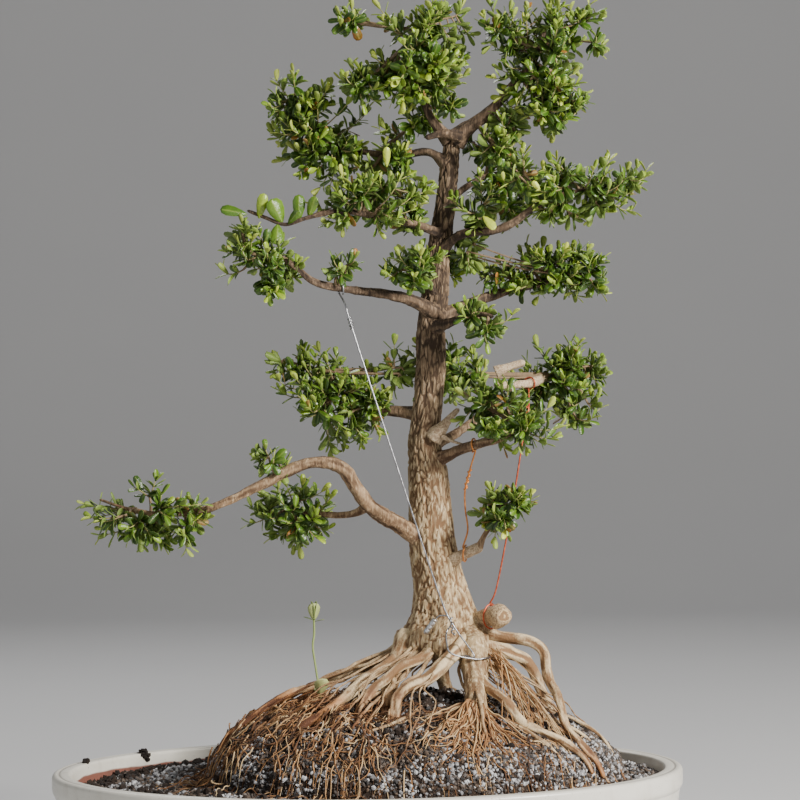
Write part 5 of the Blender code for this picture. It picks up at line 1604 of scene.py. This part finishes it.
rim_turns = turned(RIM_COUNT, chance) * chance.uniform(0.0008, 0.0022, (RIM_COUNT, 1, 1))
crumbs = joined([crumbs, copies(STONES[0], rim_turns, on_rim, shade=np.zeros(RIM_COUNT),
                                tone=0.3 * chance.random(RIM_COUNT))])
crumbs["marks"].pop("shade")
piece("bark_litter", crumbs, litter_finish, sharp=0)

# %% [markdown]
# ## Guy wires
#
# Three wires pull limbs down until the wood sets. Each is wound once round a limb and once round a root or a
# stub. The silver one is bound with a few turns below the limb, and its tail is looped back into a crimp.

# %% Wires
WIRE_RADIUS, COIL_STEPS = 0.0006, 14


def coil(limb, share, gap, start, turns):
    """A wire wound round a line of wood at a share of its length, as far out as the wood is thick there."""
    path, radius = LINES[limb]
    row = round(share * (len(path) - 1))
    along = unit(path[row + 1] - path[row - 1])
    upright = abs(along[2]) > 0.5
    side = np.array([1.0, 0, 0]) if upright else unit(np.cross((0, 0, 1), along))
    other = np.array([0, 1.0, 0]) if upright else np.array([0, 0, 1.0])
    travel = np.array([0, 0, -1.0]) if upright else along
    part = np.linspace(0, 1, round(abs(turns) * COIL_STEPS) + 1)[:, None]
    angle = 2 * math.pi * (start + turns * part)
    out = side * np.cos(angle) + other * np.sin(angle)
    far = (radius[row] + WIRE_RADIUS + gap) / np.sqrt(1 - (out @ along)[:, None] ** 2)
    return path[row] + out * far + travel * (part - 0.5) * 0.0024 * abs(turns)


def wire_piece(name, routes, finish, replaces):
    """One piece from several wires, each a smooth line through its points, with slight ripples."""
    shapes = []
    for route in routes:
        path = curve(route, 0.0009)[:, :3]
        ripple = 1 + 0.06 * lattice_noise(np.arange(len(path))[:, None] * (0.09, 0, 0), 1.0, 150)
        shapes.append(skin(path, WIRE_RADIUS * ripple[:, None], 10))
    piece(name, joined(shapes), finish, replaces)


def twisted(first, last, pitch, radius):
    """A strand that winds round the line from first to last."""
    first, last = np.array(first), np.array(last)
    along = unit(last - first)
    side = unit(np.cross(along, (0.0, 1.0, 0.2)))
    other = np.cross(along, side)
    length = np.linalg.norm(last - first)
    part = np.linspace(0, 1, max(8, round(length / pitch * 9)))[:, None]
    angle = 2 * math.pi * part * length / pitch
    return first + (last - first) * part + radius * (side * np.cos(angle) + other * np.sin(angle))


def metal(name, dull, bright, metallic):
    """Wire scuffed in fine lengthwise blots, between a dull and a bright colour."""
    made = Finish(name, Metallic=metallic)
    scuff = made.noise((0.0012, 0.0012, 0.0030), 4.0)
    made.drive("Base Color", made.blend(dull, bright, made.step(scuff, 0.35, 0.65)))
    made.drive("Roughness", 0.24 + scuff * 0.30)
    made.bump(scuff, 0.0001)
    return made


steel = metal("steel_wire", (0.24, 0.24, 0.25), (0.52, 0.52, 0.54), 1.0)
red_copper = metal("red_copper_wire", (0.34, 0.055, 0.022), (0.60, 0.130, 0.055), 0.60)
orange_copper = metal("orange_copper_wire", (0.46, 0.15, 0.035), (0.80, 0.34, 0.10), 0.65)
GAP = 0.0003
silver_run = from_crown([(-65, -41, 240), (-61, -42, 225), (-29, -44, 122), (-3, -38, 40), (6, -39, 20)])
silver_tail = from_crown([(4, -48, 2), (1, -44, 9), (1, -39, 16), (4, -37, 21), (3, -35, 26), (-3, -33, 27),
                          (-6, -31.5, 25)])
wire_piece("guy_wire_silver", [
    np.concatenate([coil("limb_upper_left", 0.54, 2 * GAP, 0.75, 1.0), silver_run,
                    coil("root_front_pillar", 0.32, 6 * GAP, 0.75, -1.0), silver_tail]),
    twisted(0.5 * silver_run[0] + 0.5 * silver_run[1], silver_run[1], 0.0022, 0.0012),
    twisted(silver_run[-1] + (-0.002, 0, 0.006), silver_run[-1] + (-0.0005, -0.004, -0.006), 0.0040, 0.0011)],
    steel, ["guy_wire_silver"])
red_run = from_crown([(61, 4, 167), (57, -1, 149), (51, -6, 115), (43, -11, 74), (36, -15, 43)])
wire_piece("guy_wire_red", [
    np.concatenate([coil("dead_limb_right", 0.5, 2 * GAP, 0.75, 1.0), red_run,
                    coil("cut_root_knob", 0.62, 3 * GAP, 0.25, -1.0)]),
    twisted(red_run[0] + (-0.001, 0, 0.008), red_run[1], 0.0050, 0.0011)],
    red_copper, ["guy_wire_red"])
orange_run = from_crown([(19, -20, 127), (15.5, -16, 113), (15.5, -14, 99), (17, -14, 85)])
wire_piece("guy_wire_orange", [
    np.concatenate([coil("limb_lower_right", 0.45, 2 * GAP, 0.75, 1.0), orange_run,
                    coil("stub_right", 0.64, 2 * GAP, 0.25, -1.0)]),
    twisted(orange_run[0], orange_run[1], 0.0044, 0.0010)],
    orange_copper, ["guy_wire_orange"])
crimp_path = curve(from_crown([(-6.6, -31.3, 24.4), (-14, -28.6, 14)]), 0.0003)[:, :3]
crimp_run = distance_along(crimp_path)
grooves = 1 - 0.16 * np.exp(-((np.mod(crimp_run, 0.0034) - 0.0017) / 0.0005) ** 2)
crimp_steel = metal("crimp_steel", (0.50, 0.50, 0.50), (0.84, 0.84, 0.85), 1.0)
piece("wire_crimp_sleeve", skin(crimp_path, rounded(0.0020 * grooves, crimp_run)[:, None], 24), crimp_steel,
      ["wire_crimp"])

# %% [markdown]
# ## Seedling
#
# A weed has sprouted at the left of the hill. Its leaves are still folded together at the top of the stem.
# Three small ones stand open just under them and two near the ground, one of those pale.

# %% Seedling
STEM_RADIUS = 0.00075
seedling_green = Finish("seedling_green")
blade_noise = seedling_green.noise((0.002, 0.002, 0.005), 3.0)
blade_tint = seedling_green.mark("tint")
seedling_green.drive("Base Color", seedling_green.blend(
    seedling_green.blend((0.10, 0.19, 0.030), (0.20, 0.32, 0.060), blade_noise),
    (0.50, 0.52, 0.22), blade_tint))
seedling_green.drive("Roughness", 0.40 + blade_noise * 0.25)
seedling_green.bump(blade_noise, 0.0002)
foot = from_crown([(-86, -8, 0)])[0]
foot[2] = float(ground(foot[:1], foot[1:2])[0]) - 0.004
stem_points = np.concatenate([
    [foot], from_crown([(-90, -6, -11), (-92, -5, 4), (-91, -4, 13), (-91, -4, 24)])])
stem_path = curve(stem_points, 0.0008)
stem = skin(stem_path, rounded(np.full(len(stem_path), STEM_RADIUS), distance_along(stem_path))[:, None], 10,
            tint=np.full((len(stem_path), 1), 0.35))
# Share of the stem's length, leaf length in metres, rise and heading in degrees, and paleness.
BLADES = [
    (0.98, 0.0140, 84, 20, 0.35), (0.98, 0.0140, 85, 200, 0.40), (0.98, 0.0120, 82, 110, 0.55),
    (0.98, 0.0125, 83, 290, 0.65), (0.97, 0.0080, 22, 170, 0.20), (0.96, 0.0075, 15, 350, 0.35),
    (0.97, 0.0060, 20, 265, 0.25), (0.14, 0.0150, 62, 285, 0.90), (0.16, 0.0080, 35, 110, 0.70)]
blade_shapes = []
for share, size, rise, heading, pale in BLADES:
    a, e = math.radians(heading), math.radians(rise)
    direction = np.array([math.cos(e) * math.cos(a), math.cos(e) * math.sin(a), math.sin(e)])
    upper = np.array([-math.sin(e) * math.cos(a), -math.sin(e) * math.sin(a), math.cos(e)])
    turn = facing(direction, upper)[None] * size
    spot = stem_path[round(share * (len(stem_path) - 1))][None]
    shape = copies(BROAD_LEAF if pale > 0.5 else LEAVES[0], turn, spot, tint=np.array([pale]))
    shape["marks"] = {"tint": shape["marks"]["tint"]}
    blade_shapes.append(shape)
piece("seedling_shoot", joined([stem, *blade_shapes]), seedling_green, ["seedling"])

# %% [markdown]
# ## Drainage mesh
#
# The mesh under the soil keeps its measured shape. Its plastic gets fine pits and a little chalk.

# %% Drainage mesh
mesh_plastic = Finish("drainage_plastic")
pits = mesh_plastic.noise((0.0012, 0.0012, 0.0012), 3.0)
mesh_plastic.drive("Base Color", mesh_plastic.blend((0.012, 0.013, 0.014), (0.060, 0.060, 0.058), pits))
mesh_plastic.drive("Roughness", 0.50 + pits * 0.3)
mesh_plastic.bump(pits, 0.0002)
drain_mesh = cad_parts["drain_mesh"]
drain_mesh.data.materials.clear()
drain_mesh.data.materials.append(mesh_plastic.material)
print("drainage mesh slots:", len(drain_mesh.material_slots))

# %% [markdown]
# ## Floor and light
#
# A plain pale floor and a plain pale sky. The main light is large and stands in front on the right, because
# the leaves' highlights and the shaded left sides of the trunk and pot should come from there. A weaker one
# on the left opens the shadows, and one above and behind picks out the edges of the crown.

# %% Floor
sweep = np.linspace(0, math.pi / 2, 16)
profile_y = np.concatenate([[-6.0], 2.6 + 1.6 * np.sin(sweep), [4.2]])
profile_z = np.concatenate([[0.0], 1.6 - 1.6 * np.cos(sweep), [6.0]])
floor_points = [(x, y, z) for y, z in zip(profile_y, profile_z) for x in (-6.0, 6.0)]
floor_faces = [(2 * k, 2 * k + 1, 2 * k + 3, 2 * k + 2) for k in range(len(profile_y) - 1)]
floor_mesh = bpy.data.meshes.new("studio_floor")
floor_mesh.from_pydata(floor_points, [], floor_faces)
floor_mesh.shade_smooth()
floor_paint = Finish("studio_floor", Roughness=0.9)
mottle = floor_paint.noise((0.4, 0.4, 0.4), 2.0)
floor_paint.drive("Base Color", floor_paint.blend((0.60, 0.60, 0.61), (0.63, 0.63, 0.63), mottle))
floor_mesh.materials.append(floor_paint.material)
floor = bpy.data.objects.new("studio_floor", floor_mesh)
bpy.context.scene.collection.objects.link(floor)
world = bpy.data.worlds.new("pale_studio")
bpy.context.scene.world = world
world.use_nodes = True
world.node_tree.nodes["Background"].inputs["Color"].default_value = (0.84, 0.84, 0.85, 1.0)
world.node_tree.nodes["Background"].inputs["Strength"].default_value = 0.26
print("floor at Z = 0")


# %% Lights
def lamp(name, place, size, watts, colour):
    """A square area light that looks at the middle of the tree."""
    data = bpy.data.lights.new(name, "AREA")
    data.size, data.energy, data.color = size, watts, colour
    light = bpy.data.objects.new(name, data)
    aim = Matrix.Translation(place).to_translation() - Matrix.Translation((0.03, 0, 0.32)).to_translation()
    light.matrix_world = Matrix.Translation(place) @ aim.to_track_quat("Z", "Y").to_matrix().to_4x4()
    bpy.context.scene.collection.objects.link(light)


lamp("window_right", (1.45, -1.20, 1.15), 0.40, 88.0, (1.0, 0.97, 0.92))
lamp("fill_left", (-1.7, -1.2, 0.9), 1.4, 6.0, (0.90, 0.95, 1.0))
lamp("rim_behind", (-0.5, 1.6, 1.8), 0.9, 14.0, (1.0, 1.0, 1.0))
print("lights:", len(bpy.data.lights))
